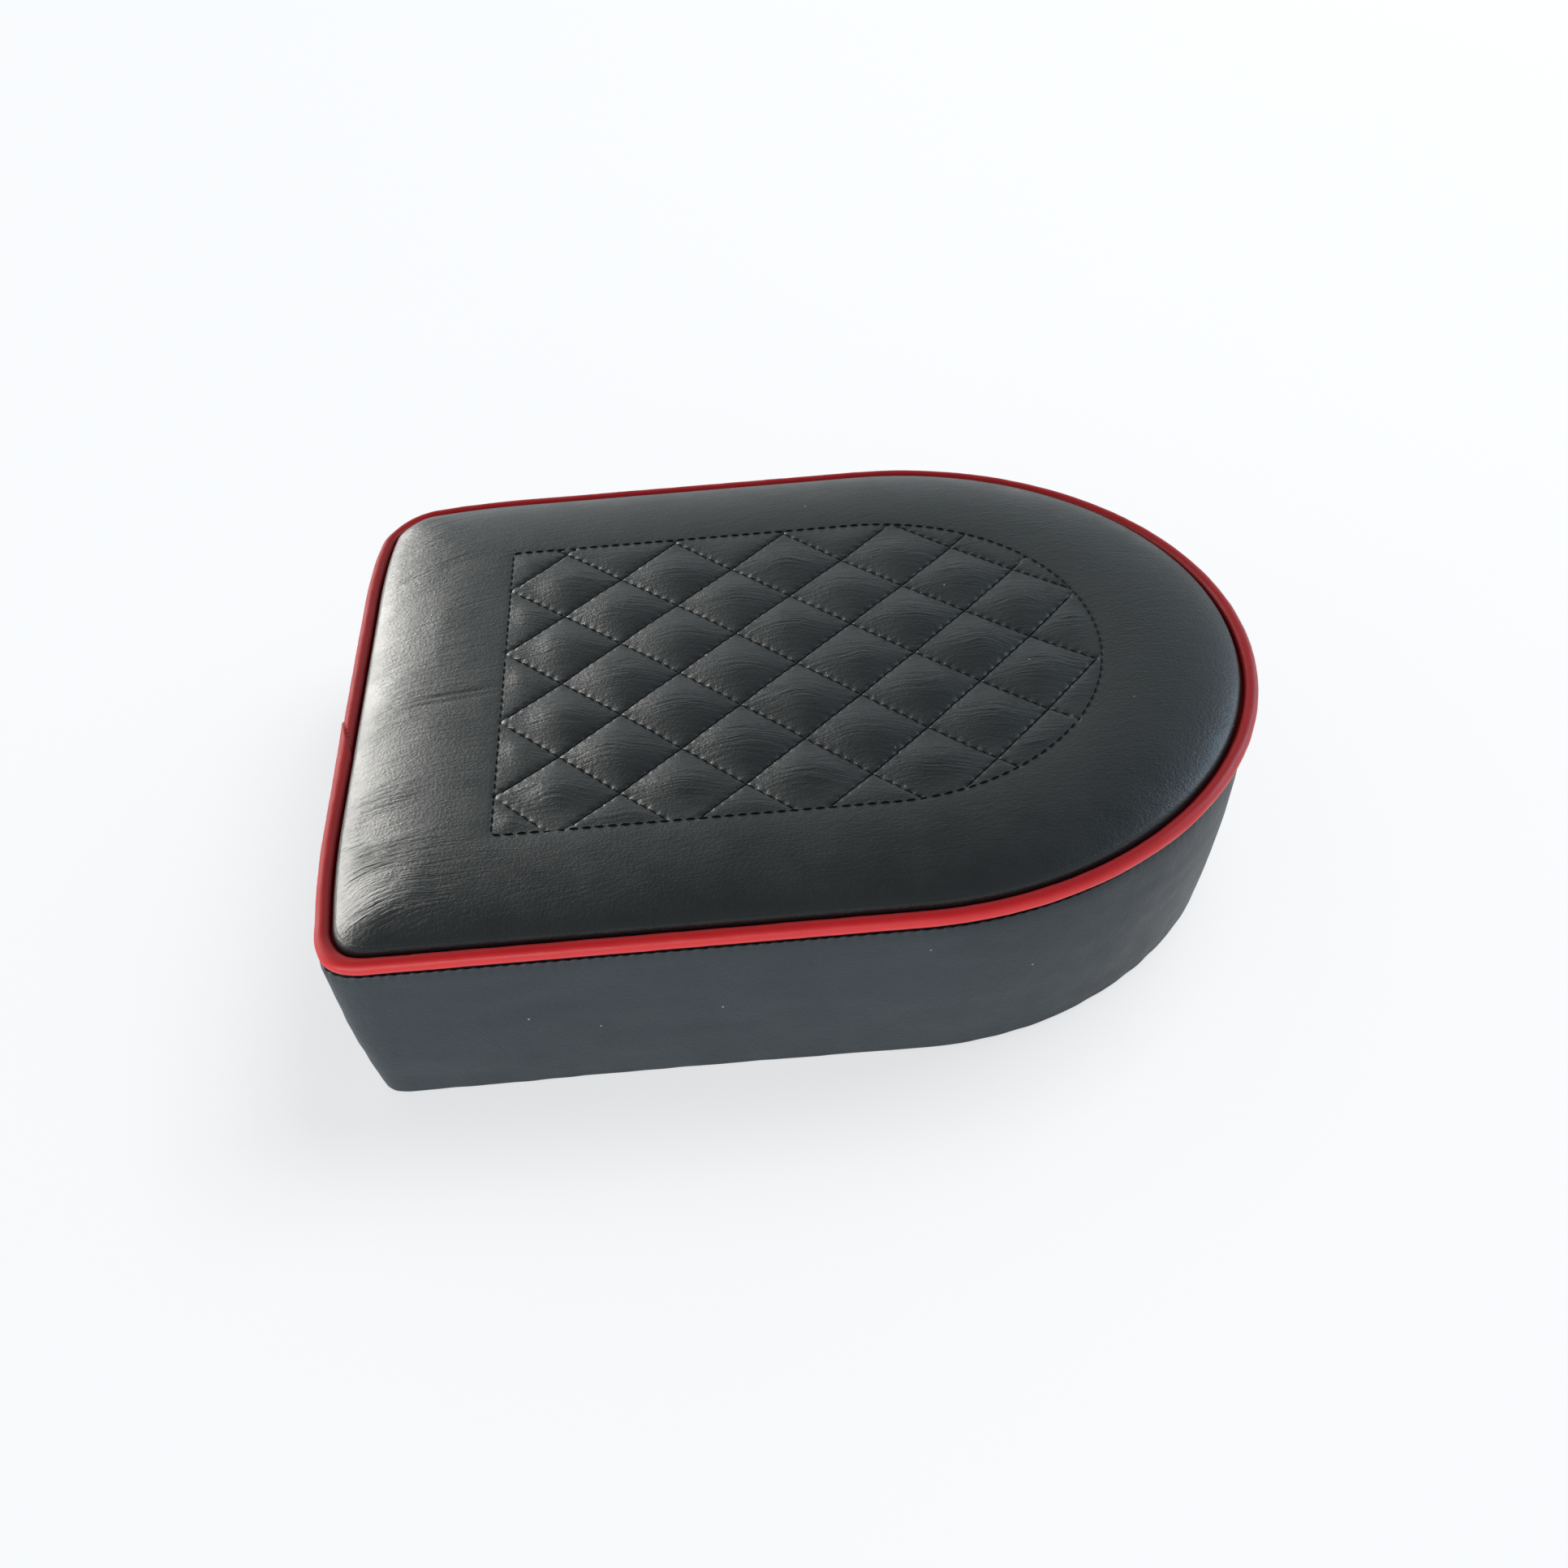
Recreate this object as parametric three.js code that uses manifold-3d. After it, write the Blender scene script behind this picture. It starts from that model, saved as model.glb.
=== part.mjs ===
// Quilted motorcycle seat pad: a D-shaped foam cushion on a plywood base, in a vinyl cover with a
// stitched diamond panel on top, red piping round its edge and a plain band that tapers to the base.
//
// Millimetres, +Z up. The origin is in the middle of the underside, +X points to the round end and
// +Y across the seat. Loops round the seat are counted inwards from the centreline of the piping:
// an "inset" of 9 is a loop 9 mm inside it.

import * as THREE from 'three';
import { mergeVertices } from 'three/addons/utils/BufferGeometryUtils.js';
import Module from 'manifold-3d';

const wasm = await Module();
wasm.setup();

// ---------------------------------------------------------------- driving dimensions

const LENGTH = 300;
const WIDTH = 240;
const CORNER_RADIUS = 18;
const LEAST_CORNER_RADIUS = 8;
const GAP = 0.4; // clearance between neighbouring pieces

const VINYL = 1.2;
const SEAM_ALLOWANCE = 9;

const PIPING_HEIGHT = 67;
const PIPING_RADIUS = 2.4;
const PIPING_VINYL = 0.5;
const PIPING_CORD_RADIUS = 1.45;
const PIPING_SLIT = 0.2; // between the two plies of the piping's flange

const SHOULDER_WIDTH = 40; // from the piping to where the top is almost level
const SHOULDER_RISE = 10.2;
const CROWN_RISE = 1.8;
const CROWN_WIDTH = 100;
const SHOULDER_START = 65.5;

const BASE_INSET = 9; // how far the band leans in from the piping to the base
const BAND_BULGE = 1.2;
const EDGE_ROUNDING = 3.4; // where the band turns under the base
const HEM_INSET = 31; // inner edge of the hem under the base

const BOARD_THICKNESS = 9;
const BOARD_BOTTOM = VINYL + GAP;
const BOARD_TOP = BOARD_BOTTOM + BOARD_THICKNESS;
const BOARD_INSET = 11;
const BOARD_CHAMFER = 2;
const VENT_RADIUS = 5;
const VENT_PLACES = [[0, 0], [-45, 0], [45, 0]];

const FOAM_BOTTOM = BOARD_TOP + GAP;

const QUILT_FOAM = 6;
const SCRIM = 0.5;
const THREAD_WIDTH = 1;
const THREAD_THICKNESS = 0.6;
const DIAMOND = 39; // across the corners of one diamond
const DIAMOND_ORIGIN = [-97, -4.5]; // half-diamond grid, whose odd points are corners

const TEE_NUT_PLACES = [[-80, -55], [-80, 55], [80, -55], [80, 55]];
const TEE_NUT = {
  sides: 12, boreRadius: 3.4, barrelRadius: 5, flangeRadius: 11, flange: 1.5, height: 8.4,
  prongs: 4, prongRadius: 9.6, prongWidth: 2.4, prongThickness: 0.8, prongLength: 6.2,
};

const STAPLE_COUNT = 28;
const STAPLE_INSET = 21;
const STAPLE = { crown: 10, leg: 8, wireThickness: 0.5, wireWidth: 1, lift: 0.1, clearance: 0.3 };

// ---------------------------------------------------------------- materials

function paint(color, roughness, metalness = 0) {
  return new THREE.MeshStandardMaterial({ color, roughness, metalness });
}

const MATERIALS = {
  blackVinyl: paint(0x3c4142, 0.55),
  redVinyl: paint(0xb8262e, 0.4),
  thread: paint(0x8e9292, 0.8),
  foam: paint(0xe6d9a8, 0.95),
  cloth: paint(0xd9d6cc, 0.95),
  cord: paint(0xf0eee6, 0.8),
  plywood: paint(0xc59a63, 0.75),
  zinc: paint(0xbfc3c7, 0.35, 1),
  steel: paint(0x9ea3a8, 0.3, 1),
};

// ---------------------------------------------------------------- plan shapes

// A plan is a D: a flat end at flatX, sides halfWidth either way from centreY, and a half circle
// from roundX on. Insets shrink all of these together. The steps are the divisions of half the
// flat end, of a corner, of a side and of half the round end.
const SEAT_PLAN = {
  flatX: -LENGTH / 2,
  roundX: (LENGTH - WIDTH) / 2,
  centreY: 0,
  halfWidth: WIDTH / 2,
  corner: CORNER_RADIUS,
  leastCorner: LEAST_CORNER_RADIUS,
  steps: { flat: 2, corner: 3, side: 4, round: 9 },
};
const QUILT_PLAN = {
  flatX: DIAMOND_ORIGIN[0],
  roundX: 25,
  centreY: -2,
  halfWidth: 76,
  corner: 2,
  leastCorner: 2,
  steps: { flat: 1, corner: 2, side: 2, round: 6 },
};

/** Points [x, y] of the loop at an inset, from the middle of the flat end along -Y and round. */
function loopAt(plan, inset) {
  const flatX = plan.flatX + inset;
  const halfWidth = plan.halfWidth - inset;
  const corner = Math.max(plan.corner - inset, plan.leastCorner);
  const { steps } = plan;
  const half = [];
  for (let i = 0; i < steps.flat; i++) {
    half.push([flatX, -(halfWidth - corner) * i / steps.flat]);
  }
  for (let i = 0; i <= steps.corner; i++) {
    const angle = Math.PI / 2 * i / steps.corner;
    half.push([
      flatX + corner * (1 - Math.cos(angle)),
      -(halfWidth - corner) - corner * Math.sin(angle),
    ]);
  }
  for (let i = 1; i < steps.side; i++) {
    half.push([THREE.MathUtils.lerp(flatX + corner, plan.roundX, i / steps.side), -halfWidth]);
  }
  for (let i = 0; i <= steps.round; i++) {
    const angle = Math.PI / 2 * i / steps.round;
    half.push([plan.roundX + halfWidth * Math.sin(angle), -halfWidth * Math.cos(angle)]);
  }
  const otherHalf = half.slice(1, -1).reverse().map(([x, y]) => [x, -y]);
  return [...half, ...otherHalf].map(([x, y]) => [x, y + plan.centreY]);
}

/** How far a point is inside the piping's centreline. */
function distanceInside(x, y) {
  const { flatX, roundX, halfWidth } = SEAT_PLAN;
  if (x > roundX) return halfWidth - Math.hypot(x - roundX, y);
  return Math.min(halfWidth - Math.abs(y), x - flatX);
}

/** Height of the cover's top at a distance inside the piping. */
function topHeight(distance) {
  const shoulder = 1 - Math.min(distance / SHOULDER_WIDTH, 1);
  const crown = Math.min(distance / CROWN_WIDTH, 1);
  return SHOULDER_START + SHOULDER_RISE * Math.sqrt(1 - shoulder ** 2) + CROWN_RISE * crown;
}

/** A height that follows the cover's top, so much above it. */
function aboveTop(rise) {
  return (x, y) => topHeight(distanceInside(x, y)) + rise;
}

// ---------------------------------------------------------------- geometry from profiles

/**
 * Sweeps a profile of [inset, height] points round a plan. A "ring" profile closes on itself, a
 * "strip" is a ring cut open at the middle of the flat end, and a "solid" profile starts and ends
 * on loops that flat caps close. A height may be a function of x and y.
 */
function sweep(profile, kind, plan = SEAT_PLAN) {
  const loops = profile.map(([inset, height]) => loopAt(plan, inset).map(
    ([x, y]) => [x, y, typeof height === 'function' ? height(x, y) : height]));
  if (kind === 'strip') {
    for (const loop of loops) {
      loop.push([...loop[0]]);
      loop[0][1] -= GAP / 2;
      loop[loop.length - 1][1] += GAP / 2;
    }
  }
  const stations = loops[0].length;
  const positions = loops.flat();
  const triangles = [];
  const rowCount = kind === 'solid' ? loops.length - 1 : loops.length;
  const stepCount = kind === 'strip' ? stations - 1 : stations;
  for (let row = 0; row < rowCount; row++) {
    const nextRow = (row + 1) % loops.length;
    for (let step = 0; step < stepCount; step++) {
      const nextStep = (step + 1) % stations;
      const a = row * stations + step;
      const b = row * stations + nextStep;
      const c = nextRow * stations + nextStep;
      const d = nextRow * stations + step;
      triangles.push([a, b, c], [a, c, d]);
    }
  }
  if (kind === 'solid') {
    addCap(positions, triangles, loops, 0, stations);
    addCap(positions, triangles, loops, loops.length - 1, stations);
  }
  if (kind === 'strip') addStripEnds(profile, triangles, stations);
  return closedGeometry(positions, triangles);
}

/** Closes a solid's first or last loop with a fan from its centre. */
function addCap(positions, triangles, loops, row, stations) {
  const loop = loops[row];
  const centre = positions.length;
  const height = loop.reduce((sum, point) => sum + point[2], 0) / stations;
  positions.push([0, 0, height]);
  for (let step = 0; step < stations; step++) {
    const a = row * stations + step;
    const b = row * stations + (step + 1) % stations;
    triangles.push(row === 0 ? [centre, b, a] : [centre, a, b]);
  }
}

/** Closes the two facing ends of a strip with its profile. */
function addStripEnds(profile, triangles, stations) {
  const contour = profile.map(([inset, height]) => new THREE.Vector2(inset, height));
  const clockwise = THREE.ShapeUtils.isClockWise(contour);
  for (const [a, b, c] of THREE.ShapeUtils.triangulateShape(contour, [])) {
    const start = [a, b, c].map((row) => row * stations);
    const end = [c, b, a].map((row) => row * stations + stations - 1);
    triangles.push(clockwise ? start.reverse() : start, clockwise ? end.reverse() : end);
  }
}

/** A geometry of the given points and triangles, turned so that its faces point out. */
function closedGeometry(positions, triangles) {
  const volume = triangles.reduce((sum, [a, b, c]) => {
    const [ax, ay, az] = positions[a];
    const [bx, by, bz] = positions[b];
    const [cx, cy, cz] = positions[c];
    return sum + ax * (by * cz - bz * cy) + ay * (bz * cx - bx * cz) + az * (bx * cy - by * cx);
  }, 0);
  const facingOut = volume > 0 ? triangles : triangles.map(([a, b, c]) => [a, c, b]);
  const geometry = new THREE.BufferGeometry();
  geometry.setAttribute('position', new THREE.Float32BufferAttribute(positions.flat(), 3));
  geometry.setIndex(facingOut.flat());
  geometry.computeVertexNormals();
  return geometry;
}

/** The line that runs so far to the left of a line of [inset, height] points. */
function leftOf(line, distance) {
  return line.map((point, i) => {
    const before = line[Math.max(i - 1, 0)];
    const after = line[Math.min(i + 1, line.length - 1)];
    const here = new THREE.Vector2(...point);
    const arriving = here.clone().sub(new THREE.Vector2(...before)).normalize();
    const leaving = new THREE.Vector2(...after).sub(here).normalize();
    if (i === 0) arriving.copy(leaving);
    if (i === line.length - 1) leaving.copy(arriving);
    const along = arriving.add(leaving).normalize();
    const mitre = distance / Math.abs(along.dot(leaving));
    return [point[0] - along.y * mitre, point[1] + along.x * mitre];
  });
}

/** A sheet of one thickness lying to the left of a line, as a closed profile. */
function sheetProfile(line, thickness) {
  return [...line, ...leftOf(line, thickness).reverse()];
}

// ---------------------------------------------------------------- solids from manifold-3d

function toSolid(geometry) {
  const bare = geometry.clone();
  bare.deleteAttribute('normal');
  bare.deleteAttribute('uv');
  const merged = mergeVertices(bare);
  return new wasm.Manifold(new wasm.Mesh({
    numProp: 3,
    vertProperties: new Float32Array(merged.attributes.position.array),
    triVerts: new Uint32Array(merged.index.array),
  }));
}

function fromSolid(solid) {
  const mesh = solid.getMesh();
  const geometry = new THREE.BufferGeometry();
  geometry.setAttribute('position', new THREE.Float32BufferAttribute(mesh.vertProperties, 3));
  geometry.setIndex([...mesh.triVerts]);
  geometry.computeVertexNormals();
  return geometry;
}

function join(geometries) {
  const solid = geometries.map(toSolid).reduce((whole, piece) => whole.add(piece));
  return fromSolid(solid);
}

function cut(geometry, cutters) {
  const solid = cutters.map(toSolid).reduce((rest, piece) => rest.subtract(piece), toSolid(geometry));
  return fromSolid(solid);
}

/** The largest body that two geometries have in common, without the slivers beside it. */
function common(geometry, other) {
  const bodies = toSolid(geometry).intersect(toSolid(other)).decompose();
  return fromSolid(bodies.reduce((most, body) => (body.volume() > most.volume() ? body : most)));
}

/** A box from its centre's place and its sizes along X, Y and Z, turned about Z. */
function box(width, depth, height, x, y, z, turn = 0) {
  return new THREE.BoxGeometry(width, depth, height).rotateZ(turn).translate(x, y, z);
}

/** An upright cylinder between two heights. */
function upright(radius, sides, x, y, bottom, top) {
  return new THREE.CylinderGeometry(radius, radius, top - bottom, sides)
    .rotateX(Math.PI / 2)
    .translate(x, y, (bottom + top) / 2);
}

// ---------------------------------------------------------------- seam at the top edge

// From the outside in, the seam's allowances hang inside the band: the band's own, folded back
// down, then the piping's two plies, then the top panel's.
const BAND_TOP = PIPING_HEIGHT - PIPING_RADIUS - GAP;
const BAND_OUTSIDE = 0.4;
const BAND_FOLD_INSET = BAND_OUTSIDE + 2 * VINYL + GAP;
const FLANGE_INSET = BAND_FOLD_INSET + GAP;
const FLANGE_THICKNESS = 2 * PIPING_VINYL + PIPING_SLIT;
const SKIRT_INSET = FLANGE_INSET + FLANGE_THICKNESS + GAP;
const ALLOWANCE_BOTTOM = BAND_TOP - SEAM_ALLOWANCE;
const FLANGE_TOP = BAND_TOP + GAP + FLANGE_THICKNESS;
const PANEL_EDGE_INSET = PIPING_RADIUS + GAP + 0.2;

const TOP_LOOPS = [5, 9, 14, 21, 30, SHOULDER_WIDTH, CROWN_WIDTH];

/** The cover's top from the piping to the middle. */
function topLine() {
  return [PANEL_EDGE_INSET, ...TOP_LOOPS].map((inset) => [inset, topHeight(inset)]);
}

function topPanel() {
  const skirt = [
    [SKIRT_INSET, ALLOWANCE_BOTTOM],
    [SKIRT_INSET, FLANGE_TOP + GAP],
    [PANEL_EDGE_INSET, FLANGE_TOP + 2 * GAP],
  ];
  const outside = [...skirt, ...topLine()];
  const inside = leftOf(outside, -VINYL);
  return sweep([...inside.reverse(), ...outside], 'solid');
}

/** The band's outer wall from the piping down to the base, leaning in with a slight bulge. */
function bandWall() {
  const steps = 5;
  const line = [];
  for (let i = 0; i <= steps; i++) {
    const part = i / steps;
    const inset = THREE.MathUtils.lerp(BAND_OUTSIDE, BASE_INSET, part);
    line.push([
      inset - BAND_BULGE * Math.sin(Math.PI * part),
      THREE.MathUtils.lerp(BAND_TOP, EDGE_ROUNDING, part),
    ]);
  }
  return line;
}

/** The quarter circle from the foot of the wall to the underside. */
function roundedEdge() {
  const steps = 3;
  const points = [];
  for (let i = 1; i <= steps; i++) {
    const angle = Math.PI / 2 * i / steps;
    points.push([
      BASE_INSET + EDGE_ROUNDING * (1 - Math.cos(angle)),
      EDGE_ROUNDING * (1 - Math.sin(angle)),
    ]);
  }
  return points;
}

function sideBand() {
  const face = [
    [BAND_FOLD_INSET, ALLOWANCE_BOTTOM],
    [BAND_FOLD_INSET, BAND_TOP],
    ...bandWall(),
    ...roundedEdge(),
    [HEM_INSET, 0],
  ];
  return cut(sweep(sheetProfile(face, VINYL), 'strip'), stapleClearances());
}

function foamCore() {
  const wall = leftOf(bandWall(), VINYL + GAP);
  const side = wall.filter(([, height]) => height > FOAM_BOTTOM && height < ALLOWANCE_BOTTOM);
  const insetAt = (height) => {
    const below = wall.findIndex((point) => point[1] <= height);
    const [low, high] = [wall[below], wall[below - 1]];
    const part = (height - low[1]) / (high[1] - low[1]);
    return THREE.MathUtils.lerp(low[0], high[0], part);
  };
  const rebateBottom = ALLOWANCE_BOTTOM - 2 * GAP;
  const rebateInset = SKIRT_INSET + VINYL + GAP;
  const top = leftOf(topLine(), -(VINYL + GAP)).filter(([inset]) => inset > rebateInset);
  const profile = [
    [CROWN_WIDTH, FOAM_BOTTOM],
    [insetAt(FOAM_BOTTOM), FOAM_BOTTOM],
    ...side.reverse(),
    [insetAt(rebateBottom), rebateBottom],
    [rebateInset, rebateBottom],
    ...top,
  ];
  const recessBottom = -(VINYL + QUILT_FOAM + SCRIM + 4 * GAP);
  return cut(sweep(profile, 'solid'), [quiltLayer(recessBottom, SHOULDER_RISE, -GAP)]);
}

/** A layer under or over the quilted field, between two heights measured from the cover's top. */
function quiltLayer(lower, upper, edge = 0) {
  const middle = QUILT_PLAN.halfWidth - (WIDTH / 2 - CROWN_WIDTH);
  return sweep([
    [middle, aboveTop(lower)],
    [edge, aboveTop(lower)],
    [edge, aboveTop(upper)],
    [middle, aboveTop(upper)],
  ], 'solid', QUILT_PLAN);
}

function quiltFoam() {
  const upper = -(VINYL + GAP);
  return quiltLayer(upper - QUILT_FOAM, upper);
}

function scrimCloth() {
  const upper = -(VINYL + QUILT_FOAM + 2 * GAP);
  return quiltLayer(upper - SCRIM, upper);
}

/** The quilting thread: a border and two families of diagonals, laid on the panel as one net. */
function quiltThread() {
  const reach = 420;
  const wallHeight = 60;
  const middle = topHeight(CROWN_WIDTH);
  const border = sweep([
    [-2, middle - wallHeight / 2],
    [-2, middle + wallHeight / 2],
    [THREAD_WIDTH, middle + wallHeight / 2],
    [THREAD_WIDTH, middle - wallHeight / 2],
  ], 'ring', QUILT_PLAN);
  const [x0, y0] = DIAMOND_ORIGIN;
  const lineCount = 9;
  const rising = [];
  const falling = [];
  for (let i = 0; i < lineCount; i++) {
    const x = x0 + DIAMOND * (i - 1.5); // where both lines of a pair cross the row at y0
    rising.push(box(reach, THREAD_WIDTH, wallHeight, x, y0, middle, Math.PI / 4));
    falling.push(box(reach, THREAD_WIDTH, wallHeight, x, y0, middle, -Math.PI / 4));
  }
  const net = join([border, ...rising, ...falling]);
  return common(net, quiltLayer(GAP, GAP + THREAD_THICKNESS));
}

// ---------------------------------------------------------------- piping

/** Points of an arc about the piping's centre, between two angles in degrees. */
function pipingArc(radius, from, to, steps) {
  const points = [];
  for (let i = 0; i <= steps; i++) {
    const angle = THREE.MathUtils.degToRad(THREE.MathUtils.lerp(from, to, i / steps));
    points.push([radius * Math.cos(angle), PIPING_HEIGHT + radius * Math.sin(angle)]);
  }
  return points;
}

/** One strip of vinyl folded round the cord, its two edges side by side as a sewing flange. */
function pipingSkin() {
  const inner = PIPING_RADIUS - PIPING_VINYL;
  const lowPlyTop = FLANGE_TOP - PIPING_VINYL - PIPING_SLIT;
  const profile = [
    ...pipingArc(PIPING_RADIUS, -22, 295, 8),
    [FLANGE_INSET, BAND_TOP + GAP],
    [FLANGE_INSET, ALLOWANCE_BOTTOM],
    [FLANGE_INSET + PIPING_VINYL, ALLOWANCE_BOTTOM],
    [FLANGE_INSET + PIPING_VINYL, lowPlyTop],
    ...pipingArc(inner, 312, -36, 6),
    [FLANGE_INSET + PIPING_VINYL + PIPING_SLIT, lowPlyTop + PIPING_SLIT],
    [FLANGE_INSET + PIPING_VINYL + PIPING_SLIT, ALLOWANCE_BOTTOM],
    [FLANGE_INSET + FLANGE_THICKNESS, ALLOWANCE_BOTTOM],
    [FLANGE_INSET + FLANGE_THICKNESS, FLANGE_TOP],
  ];
  return sweep(profile, 'strip');
}

function pipingCord() {
  return sweep(pipingArc(PIPING_CORD_RADIUS, 0, 300, 5), 'strip');
}

// ---------------------------------------------------------------- base

function baseBoard() {
  const board = sweep([
    [CROWN_WIDTH, BOARD_BOTTOM],
    [BOARD_INSET + BOARD_CHAMFER, BOARD_BOTTOM],
    [BOARD_INSET, BOARD_BOTTOM + BOARD_CHAMFER],
    [BOARD_INSET, BOARD_TOP],
    [CROWN_WIDTH, BOARD_TOP],
  ], 'solid');
  const vents = VENT_PLACES.map(([x, y]) => upright(VENT_RADIUS, 16, x, y, -1, BOARD_TOP + 1));
  const nutHoles = TEE_NUT_PLACES.flatMap(([x, y]) => teeNutClearance(x, y));
  return cut(board, [...vents, ...nutHoles, ...stapleClearances()]);
}

/** A tee nut's prongs, hanging from its flange at z = 0 and grown by a clearance. */
function prongs(grow) {
  const { prongs: count, prongRadius, prongWidth, prongThickness, prongLength, flange } = TEE_NUT;
  const top = -flange / 2;
  const bottom = -prongLength - flange - grow;
  const boxes = [];
  for (let i = 0; i < count; i++) {
    const angle = 2 * Math.PI * (i + 0.5) / count;
    boxes.push(box(
      prongThickness + 2 * grow, prongWidth + 2 * grow, top - bottom,
      prongRadius * Math.cos(angle), prongRadius * Math.sin(angle), (top + bottom) / 2, angle));
  }
  return boxes;
}

/** An M8 tee nut: a threaded barrel and a round flange, whose prongs bite into the board. */
function teeNut() {
  const { sides, boreRadius, barrelRadius, flangeRadius, flange, height } = TEE_NUT;
  const profile = [
    [boreRadius, -height],
    [barrelRadius, -height],
    [barrelRadius, -flange],
    [flangeRadius, -flange],
    [flangeRadius, 0],
    [boreRadius, 0],
    [boreRadius, -height],
  ].map(([radius, z]) => new THREE.Vector2(radius, z));
  const body = new THREE.LatheGeometry(profile, sides).rotateX(Math.PI / 2);
  return join([body, ...prongs(0)]);
}

function teeNutClearance(x, y) {
  const { sides, barrelRadius, flangeRadius, flange } = TEE_NUT;
  const holes = [
    upright(barrelRadius + GAP, sides, x, y, -1, BOARD_TOP + 1),
    upright(flangeRadius + GAP, sides, x, y, BOARD_TOP - flange - GAP, BOARD_TOP + 1),
  ];
  const slots = prongs(GAP).map((slot) => slot.translate(x, y, BOARD_TOP));
  return [...holes, ...slots];
}

/** A staple's wire, or with a clearance the room that it takes, standing on its crown. */
function stapleWire(grow) {
  const { crown, leg, wireThickness, wireWidth } = STAPLE;
  const outer = crown / 2 + grow;
  const inner = crown / 2 - wireThickness - grow;
  const shape = new THREE.Shape([
    new THREE.Vector2(-outer, -grow),
    new THREE.Vector2(outer, -grow),
    new THREE.Vector2(outer, leg + grow),
    new THREE.Vector2(inner, leg + grow),
    new THREE.Vector2(inner, wireThickness + grow),
    new THREE.Vector2(-inner, wireThickness + grow),
    new THREE.Vector2(-inner, leg + grow),
    new THREE.Vector2(-outer, leg + grow),
  ]);
  const depth = wireWidth + 2 * grow;
  return new THREE.ExtrudeGeometry(shape, { depth, bevelEnabled: false })
    .translate(0, 0, -depth / 2)
    .rotateX(Math.PI / 2);
}

/** Places evenly spaced along the hem, each with the direction of the edge there. */
function staplePlaces() {
  const loop = loopAt(SEAT_PLAN, STAPLE_INSET).map(([x, y]) => new THREE.Vector3(x, y, STAPLE.lift));
  const path = new THREE.CurvePath();
  loop.forEach((point, i) => path.add(new THREE.LineCurve3(point, loop[(i + 1) % loop.length])));
  const places = [];
  for (let i = 0; i < STAPLE_COUNT; i++) {
    const part = (i + 0.5) / STAPLE_COUNT;
    const tangent = path.getTangentAt(part);
    places.push({ point: path.getPointAt(part), turn: Math.atan2(tangent.y, tangent.x) });
  }
  return places;
}

function stapleClearances() {
  return staplePlaces().map(({ point, turn }) => stapleWire(STAPLE.clearance)
    .rotateZ(turn)
    .translate(point.x, point.y, point.z));
}

// ---------------------------------------------------------------- the seat

const seat = new THREE.Group();

function addPiece(name, geometry, material) {
  const mesh = new THREE.Mesh(geometry, material);
  mesh.name = name;
  seat.add(mesh);
  return mesh;
}

addPiece('top_panel', topPanel(), MATERIALS.blackVinyl);
addPiece('side_band', sideBand(), MATERIALS.blackVinyl);
addPiece('piping_skin', pipingSkin(), MATERIALS.redVinyl);
addPiece('piping_cord', pipingCord(), MATERIALS.cord);
addPiece('quilt_thread', quiltThread(), MATERIALS.thread);
addPiece('quilt_foam', quiltFoam(), MATERIALS.foam);
addPiece('scrim_cloth', scrimCloth(), MATERIALS.cloth);
addPiece('foam_core', foamCore(), MATERIALS.foam);
addPiece('base_board', baseBoard(), MATERIALS.plywood);

TEE_NUT_PLACES.forEach(([x, y], i) => {
  addPiece(`tee_nut_${i + 1}`, teeNut(), MATERIALS.zinc).position.set(x, y, BOARD_TOP);
});

staplePlaces().forEach(({ point, turn }, i) => {
  const number = String(i + 1).padStart(2, '0');
  const staple = addPiece(`staple_${number}`, stapleWire(0), MATERIALS.steel);
  staple.position.copy(point);
  staple.rotation.z = turn;
});

export default seat;
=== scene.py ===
"""Visual model of a quilted seat pad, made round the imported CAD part.

Shapes are worked out in millimetres in the CAD's own frame and turned into metres when a mesh is
made. An "inset" is a distance inwards from the piping's centreline, as seen from above.
"""

import math

import bpy
import numpy as np
from mathutils import Matrix, Vector
from mathutils.bvhtree import BVHTree
from mathutils.geometry import delaunay_2d_cdt
from mathutils.kdtree import KDTree


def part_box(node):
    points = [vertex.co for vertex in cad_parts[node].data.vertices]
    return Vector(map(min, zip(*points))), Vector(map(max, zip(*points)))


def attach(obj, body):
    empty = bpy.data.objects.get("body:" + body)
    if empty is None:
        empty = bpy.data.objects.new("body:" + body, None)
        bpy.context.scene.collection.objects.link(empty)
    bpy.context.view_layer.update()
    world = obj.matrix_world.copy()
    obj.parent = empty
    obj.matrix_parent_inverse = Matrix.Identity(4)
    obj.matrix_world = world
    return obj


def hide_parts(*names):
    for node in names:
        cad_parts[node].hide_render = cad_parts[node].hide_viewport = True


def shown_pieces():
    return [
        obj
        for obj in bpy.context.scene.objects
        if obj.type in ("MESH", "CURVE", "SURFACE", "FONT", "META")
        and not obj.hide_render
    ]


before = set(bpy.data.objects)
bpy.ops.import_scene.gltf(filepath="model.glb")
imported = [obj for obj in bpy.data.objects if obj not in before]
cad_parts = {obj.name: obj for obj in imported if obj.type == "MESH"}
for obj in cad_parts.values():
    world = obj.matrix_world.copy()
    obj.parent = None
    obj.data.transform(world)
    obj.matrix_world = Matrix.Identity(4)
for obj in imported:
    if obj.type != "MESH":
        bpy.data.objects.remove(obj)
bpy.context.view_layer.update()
MM = 0.001


def box_mm(node):
    """Lowest and highest corner of a CAD node, in millimetres."""
    low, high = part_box(node)
    return np.array(low) / MM, np.array(high) / MM


# ---- dimensions

piping_low, piping_high = box_mm("piping_skin")
quilt_low, quilt_high = box_mm("quilt_thread")
panel_low, panel_high = box_mm("top_panel")
band_high = box_mm("side_band")[1]
core_low = box_mm("foam_core")[0]

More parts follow.
